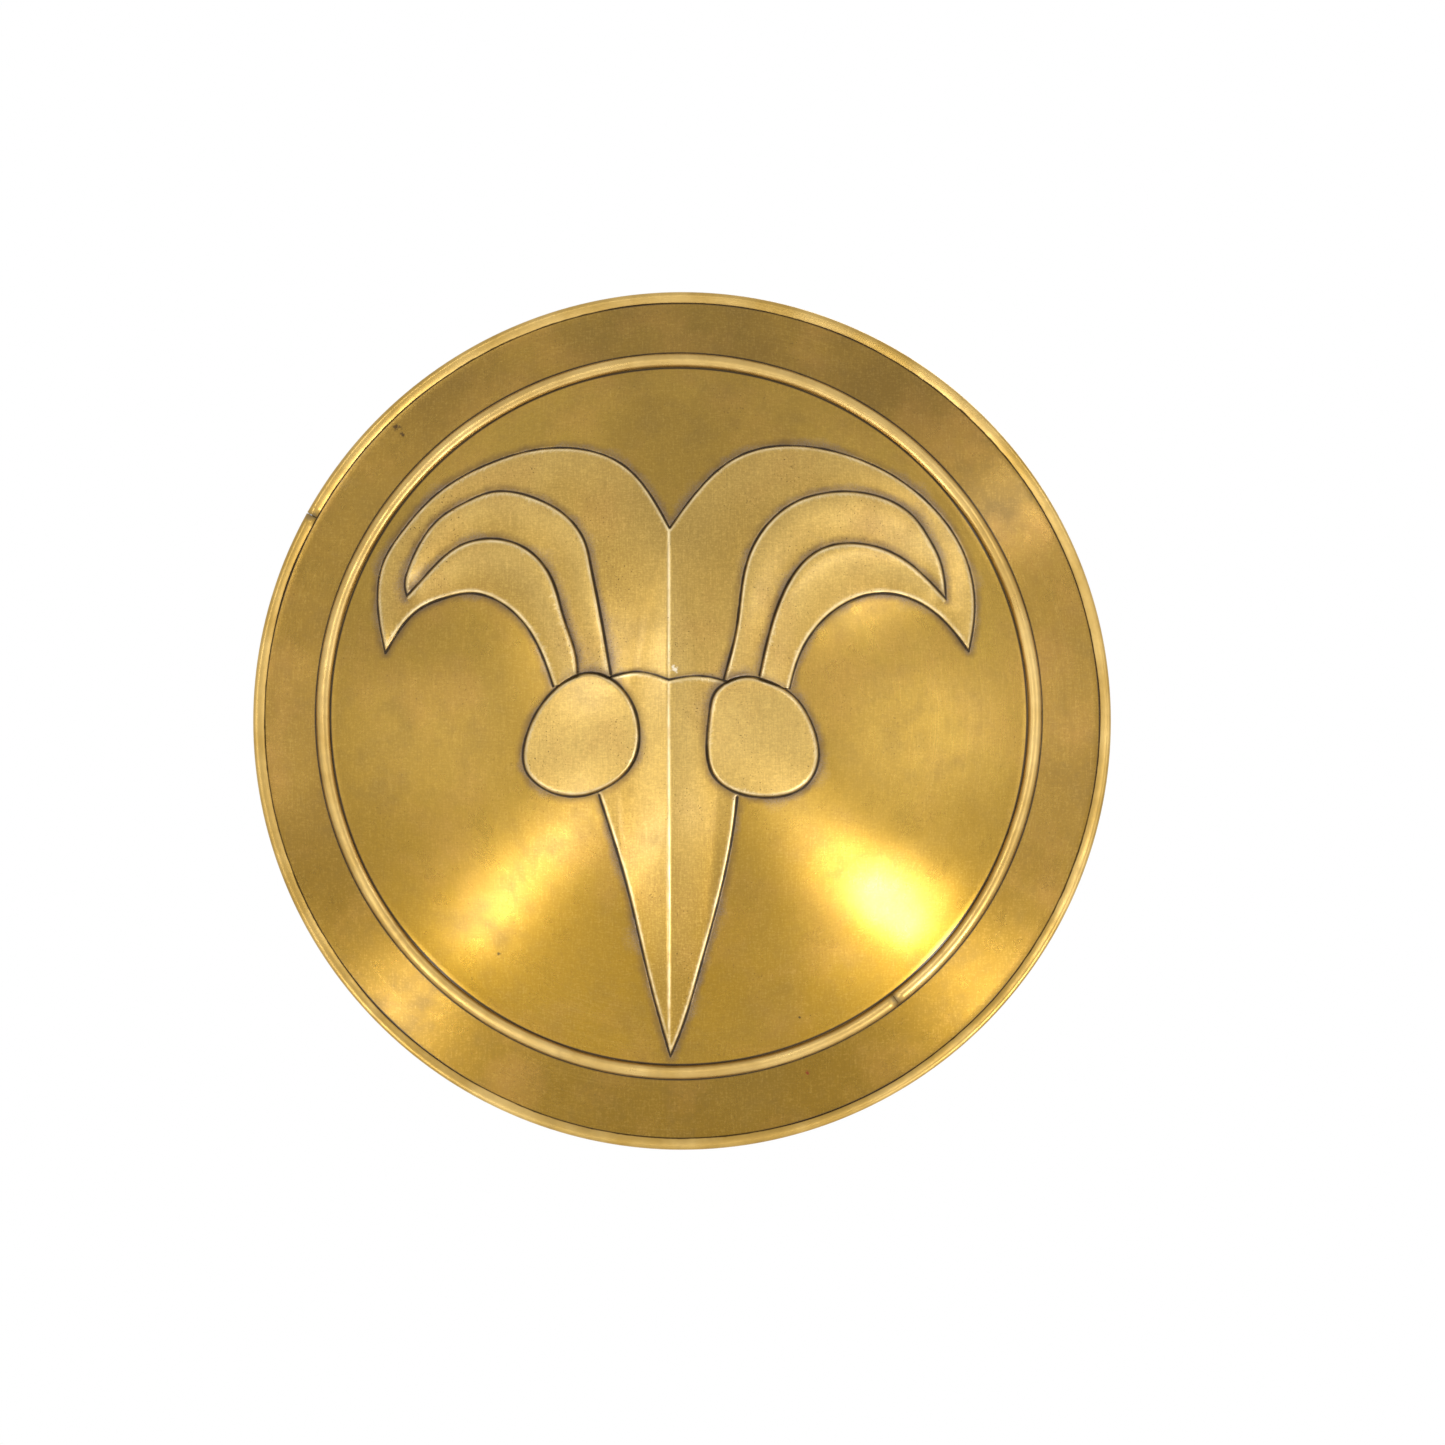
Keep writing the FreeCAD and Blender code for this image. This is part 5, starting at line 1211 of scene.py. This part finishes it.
# A flat strip: its folds drawn as one line, pushed across and rounded at each fold
def makeStrip(bm, places, flip):
    half = strap["half"]
    spots = [Vector((-half, out / 1000, flip * up / 1000)) for out, up, bend in places]
    last = bmesh.ops.create_vert(bm, co=spots[0])["vert"][0]
    for spot in spots[1:]:
        last = bmesh.ops.extrude_vert_indiv(bm, verts=[last])["verts"][0]
        last.co = spot
    made = bmesh.ops.extrude_edge_only(bm, edges=bm.edges[:])["geom"]
    farSide = [g for g in made if isinstance(g, bmesh.types.BMVert)]
    bmesh.ops.translate(bm, verts=farSide, vec=(2 * half, 0, 0))
    for i in range(1, len(spots) - 1):
        back = (spots[i - 1] - spots[i]).normalized()
        ahead = (spots[i + 1] - spots[i]).normalized()
        reach = places[i][2] / 1000 / math.tan(back.angle(ahead) / 2)
        room = min((spots[i - 1] - spots[i]).length, (spots[i + 1] - spots[i]).length)
        fold = [e for e in bm.edges if all((v.co - spots[i]).yz.length < 1e-6 for v in e.verts)]
        bmesh.ops.bevel(bm, geom=fold, affect="EDGES", offset_type="OFFSET",
                        offset=min(reach, room * 0.98), segments=6, profile=0.5, material=-1,
                        clamp_overlap=False)
    bmesh.ops.remove_doubles(bm, verts=bm.verts, dist=0.00003)
    across = [e for e in bm.edges if abs(e.verts[0].co.x - e.verts[1].co.x) > half]
    bmesh.ops.subdivide_edges(bm, edges=across, cuts=3, use_grid_fill=True)


# One hidden cutter from boxes (low and high corner) and rods (foot, direction, radius, length)
def cutterOf(name, boxes, rods):
    bm = bmesh.new()
    for low, high in boxes:
        made = bmesh.ops.create_cube(bm, size=1)["verts"]
        size = Vector(high) - Vector(low)
        bmesh.ops.scale(bm, verts=made, vec=size)
        bmesh.ops.translate(bm, verts=made, vec=Vector(low) + size / 2)
        upright = [e for e in bm.edges if e.verts[0] in made and e.verts[1] in made
                   and abs(e.verts[0].co.y - e.verts[1].co.y) > size.y / 2]
        bmesh.ops.bevel(bm, geom=upright, affect="EDGES", offset=min(size.x, size.z) * 0.49, segments=5,
                        profile=0.5, material=-1)
    for base, direction, radius, length in rods:
        turn = Vector((0, 0, 1)).rotation_difference(Vector(direction)).to_matrix().to_4x4()
        bmesh.ops.create_cone(bm, cap_ends=True, segments=20, radius1=radius, radius2=radius, depth=length,
                              matrix=Matrix.Translation(base) @ turn)
    mesh = bpy.data.meshes.new(name)
    bm.to_mesh(mesh)
    bm.free()
    cutter = bpy.data.objects.new(name, mesh)
    bpy.context.scene.collection.objects.link(cutter)
    return cutter


# A strip gets its thickness, holes and rounded edges, and goes to its place
def finishLeather(bm, name, spot, body, material, replaced, thick, cutter=None):
    mesh = bpy.data.meshes.new(name)
    bmesh.ops.recalc_face_normals(bm, faces=bm.faces)
    bm.to_mesh(mesh)
    bm.free()
    raw = bpy.data.objects.new(name + "Raw", mesh)
    bpy.context.scene.collection.objects.link(raw)
    if thick:
        wall = raw.modifiers.new("wall", "SOLIDIFY")
        wall.thickness = thick
        wall.offset = 0
        wall.use_even_offset = True
    if cutter:
        holes = raw.modifiers.new("holes", "BOOLEAN")
        holes.object = cutter
        holes.operation = "DIFFERENCE"
        holes.solver = "EXACT"
    rounded = raw.modifiers.new("rounded", "BEVEL")
    rounded.width = strap["edgeRound"]
    rounded.segments = 2
    rounded.limit_method = "ANGLE"
    rounded.angle_limit = math.radians(50)
    done = bpy.data.meshes.new_from_object(raw.evaluated_get(bpy.context.evaluated_depsgraph_get()))
    for thing in (raw, cutter):
        if thing:
            bpy.data.objects.remove(thing)
    done.transform(placeOf(spot))
    bm = bmesh.new()
    bm.from_mesh(done)
    bmesh.ops.remove_doubles(bm, verts=bm.verts, dist=1e-6)
    bmesh.ops.triangulate(bm, faces=[f for f in bm.faces if len(f.verts) > 4])
    bpy.data.meshes.remove(done)
    return finishPiece(bm, name, body, material, "leather", *replaced)


def rivetRods(up):
    radius, length = strap["rivetHole"]
    return [((x / 1000, y / 1000, up), (0, 0, 1), radius, length) for x, y in strap["rivetAt"]]


def heightOf(part):
    verts = [part] if isinstance(part, bmesh.types.BMVert) else part.verts
    return sum(v.co.z for v in verts) / len(verts)


def makeStraps():
    mat = makeLeather("strapLeather", armPlace, strap["crease"], strap["half"])
    bm = bmesh.new()
    makeStrip(bm, strap["fold"] + strap["short"], 1)
    cutter = cutterOf("cutter", [strap["tonguePunch"]], rivetRods(strap["rivetUp"]))
    finishLeather(bm, "strapShort", armPlace, "shield", mat, ["strap_short"], strap["thick"], cutter)

    bm = bmesh.new()
    makeStrip(bm, strap["fold"] + strap["long"], -1)
    clip = strap["tailClip"]
    for side in (1, -1):    # the two clipped corners of the tail
        tail = [part for part in bm.verts[:] + bm.edges[:] + bm.faces[:] if heightOf(part) > 0]
        bmesh.ops.bisect_plane(bm, geom=tail, plane_co=(side * strap["half"], *strap["tailEnd"]),
                               plane_no=Vector((side * 2 * clip, 0, clip)), clear_outer=True)
    slotX, slotZ = strap["slotHalf"]
    near, far = strap["slotDepth"]
    boxes = [((-slotX, near, (z / 1000) - slotZ), (slotX, far, (z / 1000) + slotZ))
             for z in strap["slots"]]
    cutter = cutterOf("cutter", boxes, rivetRods(-strap["rivetUp"]))
    finishLeather(bm, "strapLong", armPlace, "shield", mat, ["strap_long"], strap["thick"], cutter)


keeper = {
    "half": 0.0163, "low": 0.0447, "high": 0.0532, "start": 0.014, "width": 0.011, "wall": 0.0017,
    "corner": 0.0022, "clearance": 0.0001,
}


# A loop of thin leather round both straps, its ends butted and stitched on the inside
def makeKeeper():
    k = keeper
    bm = bmesh.new()
    made = bmesh.ops.create_grid(bm, x_segments=1, y_segments=1, size=1)["verts"]
    bmesh.ops.rotate(bm, verts=made, cent=(0, 0, 0), matrix=Matrix.Rotation(math.radians(90), 3, "X"))
    grow = k["wall"] / 2 + k["clearance"]
    bmesh.ops.delete(bm, geom=bm.faces[:], context="FACES_ONLY")
    for v in bm.verts:
        out = k["low"] - grow if v.co.z < 0 else k["high"] + grow
        v.co = (math.copysign(k["half"] + grow, v.co.x), out, k["start"] + k["clearance"])
    up = bmesh.ops.extrude_edge_only(bm, edges=bm.edges[:])["geom"]
    bmesh.ops.translate(bm, verts=[g for g in up if isinstance(g, bmesh.types.BMVert)],
                        vec=(0, 0, k["width"] - 2 * k["clearance"]))
    upright = [e for e in bm.edges if abs(e.verts[0].co.z - e.verts[1].co.z) > k["width"] / 2]
    bmesh.ops.bevel(bm, geom=upright, affect="EDGES", offset=k["corner"], segments=5, profile=0.5,
                    material=-1)
    mat = makeLeather("keeperLeather", armPlace)
    finishLeather(bm, "keeperLoop", armPlace, "keeper", mat, ["strap_keeper"], k["wall"])


# Small capsules, each at a place and along a direction
def addStitches(bm, spots, length, thick):
    for place, along, out in spots:
        side = along.cross(out).normalized()
        turn = Matrix((side, along.normalized(), out.normalized())).transposed().to_4x4()
        made = bmesh.ops.create_icosphere(bm, subdivisions=1, radius=thick / 2)["verts"]
        bmesh.ops.scale(bm, verts=made, vec=(1, length / thick, 0.8))
        bmesh.ops.transform(bm, verts=made, matrix=Matrix.Translation(place) @ turn)


# Stitches along both sides and the end of the buckle's fold, and up the keeper's seam
stitching = {
    "foldRow": (0.0125, 0.0120, 0.0048, 7),       # right, first height, spacing, count
    "foldEnd": (-0.0120, 0.0400, 0.006, 5),       # first place right, height, spacing, count
    "foldOut": 0.04495,
    "foldSize": (0.0034, 0.0008),                 # length and thickness
    "keeperRow": (0.0018, 0.0025, 4),             # first height, spacing, count
    "keeperLean": 0.35,
    "keeperSize": (0.0036, 0.0007),
}


def makeStitching():
    s = stitching
    inward = Vector((0, -1, 0))
    bm = bmesh.new()
    spots = []
    right, first, spacing, count = s["foldRow"]
    for side in (-1, 1):
        for i in range(count):
            place = Vector((side * right, s["foldOut"], first + spacing * i))
            spots.append((place, Vector((0, 0, 1)), inward))
    first, up, spacing, count = s["foldEnd"]
    for i in range(count):
        spots.append((Vector((first + spacing * i, s["foldOut"], up)), Vector((1, 0, 0)), inward))
    addStitches(bm, spots, *s["foldSize"])
    bmesh.ops.transform(bm, verts=bm.verts, matrix=placeOf(armPlace))
    finishPiece(bm, "foldStitches", "shield", waxedThread, "leather")

    bm = bmesh.new()
    first, spacing, count = s["keeperRow"]
    out = keeper["low"] - keeper["wall"] - keeper["clearance"]
    spots = [(Vector((0.0, out, keeper["start"] + first + spacing * i)),
              Vector((1, 0, s["keeperLean"] * (-1) ** i)), inward) for i in range(count)]
    addStitches(bm, spots, *s["keeperSize"])
    bmesh.ops.transform(bm, verts=bm.verts, matrix=placeOf(armPlace))
    finishPiece(bm, "keeperStitches", "keeper", waxedThread, "leather")


grip = {
    "barOut": 0.0445, "halfCover": 0.0420, "inner": 0.00840, "outer": 0.0096, "swell": 0.0012,
    "middle": 0.01533, "shoulder": 0.026, "edgeIn": 0.0003, "edgeUp": 0.0006,
    "shoulderSwell": 0.55, "middleSwell": 1.06, "spinSteps": 96,
    "seamTurn": 62.0, "seamDepth": 0.0006, "seamHalf": 0.0007, "pull": 0.00022, "pullHalf": 0.0035,
    "creases": 0.00010, "stitches": 22, "stitchLean": 0.55, "stitchSize": (0.0046, 0.0008),
    "liningDepth": 0.0006, "longestEdge": 0.004, "edgeCuts": 7,
    "creaseWaves": (900, 3, 2, 1.5, 1),     # turns up, bend and its turns, turns round and their start
    "pullEnds": 0.004, "stitchEnds": 0.006, "stitchSwell": (1.02, 0.95), "stitchOut": 0.00012,
}


# Leather drawn round the wooden handle, its edges met in a cross-stitched seam
def makeGripCover():
    g = grip
    bm = bmesh.new()
    high, outer, swell, shoulder = g["halfCover"], g["outer"], g["swell"], g["shoulder"]
    profile = [(g["inner"], -high), (outer - g["edgeIn"], -high), (outer, -high + g["edgeUp"]),
               (outer + swell * g["shoulderSwell"], -shoulder), (outer + swell, -g["middle"]),
               (outer + swell * g["middleSwell"], 0), (outer + swell, g["middle"]),
               (outer + swell * g["shoulderSwell"], shoulder), (outer, high - g["edgeUp"]),
               (outer - g["edgeIn"], high), (g["inner"], high)]
    last = bmesh.ops.create_vert(bm, co=(profile[0][0], 0, profile[0][1]))["vert"][0]
    for radius, up in profile[1:]:
        last = bmesh.ops.extrude_vert_indiv(bm, verts=[last])["verts"][0]
        last.co = (radius, 0, up)
    long = [e for e in bm.edges if e.calc_length() > g["longestEdge"]]
    bmesh.ops.subdivide_edges(bm, edges=long, cuts=g["edgeCuts"])
    bmesh.ops.spin(bm, geom=bm.edges[:], cent=(0, 0, 0), axis=(0, 0, 1), angle=2 * math.pi,
                   steps=g["spinSteps"], use_merge=True)
    bmesh.ops.remove_doubles(bm, verts=bm.verts, dist=1e-6)
    seam = math.radians(g["seamTurn"])
    rise, bend, bendTurns, turns, begin = g["creaseWaves"]
    for v in bm.verts:
        radius = math.hypot(v.co.x, v.co.y)
        if radius < g["inner"] + g["liningDepth"]:
            continue
        turn = (math.atan2(v.co.y, v.co.x) - seam + math.pi) % (2 * math.pi) - math.pi
        off = turn * radius
        dent = g["seamDepth"] * math.exp(-(off / g["seamHalf"]) ** 2)
        alongStitches = math.cos(2 * math.pi * v.co.z * g["stitches"] / (2 * high - g["pullEnds"]))
        pull = g["pull"] * math.exp(-(off / g["pullHalf"]) ** 2) * alongStitches
        creases = g["creases"] * math.sin(v.co.z * rise + bend * math.sin(turn * bendTurns))
        creases *= math.sin(turn * turns + begin)
        scale = (radius - dent + pull + creases) / radius
        v.co.x *= scale
        v.co.y *= scale
    bmesh.ops.recalc_face_normals(bm, faces=bm.faces)
    toGrip = placeOf(gripPlace) @ Matrix.Translation((0, g["barOut"], 0))
    bmesh.ops.transform(bm, verts=bm.verts, matrix=toGrip)
    finishPiece(bm, "gripCover", "grip", makeLeather("gripLeather", gripPlace), "leather", "grip_wrap")

    bm = bmesh.new()
    spots = []
    count = g["stitches"]
    full, lost = g["stitchSwell"]
    for i in range(count):
        up = (i - (count - 1) / 2) * (2 * high - g["stitchEnds"]) / count
        radius = outer + swell * (full - (abs(up) / high) ** 2 * lost) + g["stitchOut"]
        out = Vector((math.cos(seam), math.sin(seam), 0))
        side = Vector((-math.sin(seam), math.cos(seam), g["stitchLean"] * (-1) ** i))
        spots.append((out * radius + Vector((0, 0, up)), side, out))
    addStitches(bm, spots, *g["stitchSize"])
    bmesh.ops.transform(bm, verts=bm.verts, matrix=toGrip)
    finishPiece(bm, "gripStitches", "grip", waxedThread, "leather")


makeStraps()
makeKeeper()
makeStitching()
makeGripCover()
print("leather done")

# Metals of the fittings: bare, rubbed and tarnish colours, tarnish share, roughness and depth of pitting
fittingMetals = {
    "castBrass": ((0.40, 0.255, 0.075), (0.55, 0.37, 0.13), (0.07, 0.05, 0.03), 0.55, 0.36, 0.00022),
    "buckleBrass": ((0.46, 0.30, 0.085), (0.62, 0.43, 0.15), (0.08, 0.055, 0.03), 0.35, 0.26, 0.00010),
    "ferruleBrass": ((0.47, 0.305, 0.085), (0.62, 0.43, 0.15), (0.08, 0.055, 0.03), 0.30, 0.24, 0.00010),
    "forgedSteel": ((0.23, 0.225, 0.22), (0.42, 0.41, 0.40), (0.06, 0.045, 0.035), 0.6, 0.40, 0.00020),
    "rivetCopper": ((0.52, 0.23, 0.12), (0.72, 0.38, 0.22), (0.10, 0.045, 0.03), 0.5, 0.32, 0.00016),
    "softSolder": ((0.16, 0.15, 0.13), (0.30, 0.285, 0.25), (0.05, 0.045, 0.035), 0.7, 0.42, 0.0003),
}
fittingScales = {"clouds": 60.0, "speckle": 1400.0}
fittingNodes = {
    "castBrass": ["arm_staple_upper", "arm_staple_lower", "grip_eye_upper", "grip_eye_lower", "hang_clip"],
    "buckleBrass": ["buckle_frame", "buckle_tongue"],
    "ferruleBrass": ["grip_ferrule_upper", "grip_ferrule_lower"],
    "forgedSteel": ["grip_bail", "hang_ring", "rim_wire"],
    "rivetCopper": ["upper_rivets", "upper_burrs", "lower_rivets", "lower_burrs"],
}


def makeFittingMetal(name):
    metal, rubbed, tarnish, share, rough, depth = fittingMetals[name]
    mat, tree, principled, where = newMaterial(name, Metallic=0.95)
    aged = useGroup(tree, agedMetal, {
        "Where": where, "Metal": metal, "Rubbed": rubbed, "Tarnish": tarnish, "Tarnish Share": share,
        "Cloud Scale": fittingScales["clouds"], "Speckle Scale": fittingScales["speckle"],
        "Roughness": rough})
    tree.links.new(aged.outputs["Colour"], principled.inputs["Base Color"])
    tree.links.new(aged.outputs["Roughness"], principled.inputs["Roughness"])
    bump(tree, principled, aged.outputs["Height"], depth)
    return mat


handleWood = {
    "pale": (0.46, 0.27, 0.13), "dark": (0.30, 0.155, 0.070), "pore": (0.10, 0.045, 0.02),
    "drawnOut": (1, 1, 6), "grainScale": 420.0, "ringScale": 60.0, "pores": (0.55, 0.72, 0.0, 0.7),
    "rough": (0.3, 0.7, 0.34, 0.52), "bumpDepth": 0.00012,
}


# Turned hardwood handle: long grain, darker pores and an oiled finish
def makeWood():
    look = handleWood
    mat, tree, principled, where = newMaterial("handleWood")
    local = ownPlaces(tree, where, gripPlace, look["drawnOut"])
    grain = noise(tree, local, look["grainScale"], 5.0, 0.65)
    rings = put(tree, "TexWave", {"Vector": local, "Scale": look["ringScale"], "Distortion": 4.0,
                                  "Detail": 3.0}, wave_type="RINGS", rings_direction="Z").outputs["Fac"]
    colour = blendColour(tree, rings, look["dark"], look["pale"])
    colour = blendColour(tree, stretch(tree, grain, *look["pores"]), colour, look["pore"])
    tree.links.new(colour, principled.inputs["Base Color"])
    tree.links.new(stretch(tree, grain, *look["rough"]), principled.inputs["Roughness"])
    bump(tree, principled, grain, look["bumpDepth"])
    return mat


def dress(names, material):
    for name in names:
        for slot in nodes[name].material_slots:
            slot.material = material


for metalName, names in fittingNodes.items():
    dress(names, makeFittingMetal(metalName))
dress(["grip_core"], makeWood())
print("fittings dressed")

# Solder feet: right, up, half width and half height
solder = {
    "staple": (0.0195, 0.05575, 0.0078, 0.0078),
    "eye": (0.0, 0.0685, 0.0118, 0.0059),
    "clip": (0.0085, 0.0062, 0.0064),
    "thick": 0.0009,
    "under": 0.5,
    "ragged": ((3, 0.05), (7, 0.03)),   # turns and share of each wave round the edge
}


# Soft grey solder that ran out round the foot of each fitting on the dome's back
def makeSolder():
    bm = bmesh.new()
    puddles = []
    for place, (across, up, wide, high) in ((armPlace, solder["staple"]), (gripPlace, solder["eye"])):
        for sideX in ((-1, 1) if across else (1,)):
            for sideZ in (-1, 1):
                puddles.append((place, sideX * across, sideZ * up, wide, high))
    up, wide, high = solder["clip"]
    for side in (-1, 1):
        puddles.append((hangPlace, 0, side * up, wide, high))
    (slowTurns, slowShare), (quickTurns, quickShare) = solder["ragged"]
    for i, (place, x, z, wide, high) in enumerate(puddles):
        made = bmesh.ops.create_icosphere(bm, subdivisions=3, radius=1)["verts"]
        for v in made:
            turn = math.atan2(v.co.z, v.co.x)
            ragged = (1 + slowShare * math.sin(slowTurns * turn + i)
                      + quickShare * math.sin(quickTurns * turn + 2 * i))
            local = Vector((x + v.co.x * wide * ragged, 0, z + v.co.z * high * ragged))
            seat = backRadius - math.sqrt(backRadius ** 2 - local.x ** 2 - local.z ** 2)
            local.y = seat + v.co.y * solder["thick"] * (1 if v.co.y > 0 else solder["under"])
            v.co = placeOf(place) @ local
    bmesh.ops.recalc_face_normals(bm, faces=bm.faces)
    finishPiece(bm, "solderFeet", "shield", makeFittingMetal("softSolder"), "brass_fittings")


makeSolder()
print("solder done")


def makeFloor():
    bm = bmesh.new()
    bmesh.ops.create_grid(bm, x_segments=1, y_segments=1, size=studio["floorSize"] / 2)
    bmesh.ops.translate(bm, verts=bm.verts, vec=(0, 0, -studio["floorDrop"]))
    mesh = bpy.data.meshes.new("floor")
    bm.to_mesh(mesh)
    bm.free()
    floor = bpy.data.objects.new("floor", mesh)
    bpy.context.scene.collection.objects.link(floor)
    mat, tree, principled, where = newMaterial("paleFloor", Roughness=studio["floorRough"],
                                              Base_Color=(*studio["floorColour"], 1))
    path = put(tree, "LightPath")
    seen = larger(tree, path.outputs["Is Camera Ray"], path.outputs["Is Glossy Ray"])
    principled.inputs["Emission Color"].default_value = (1, 1, 1, 1)
    tree.links.new(times(tree, seen, studio["floorGlow"]), principled.inputs["Emission Strength"])
    mesh.materials.append(mat)


makeFloor()
print("floor laid")
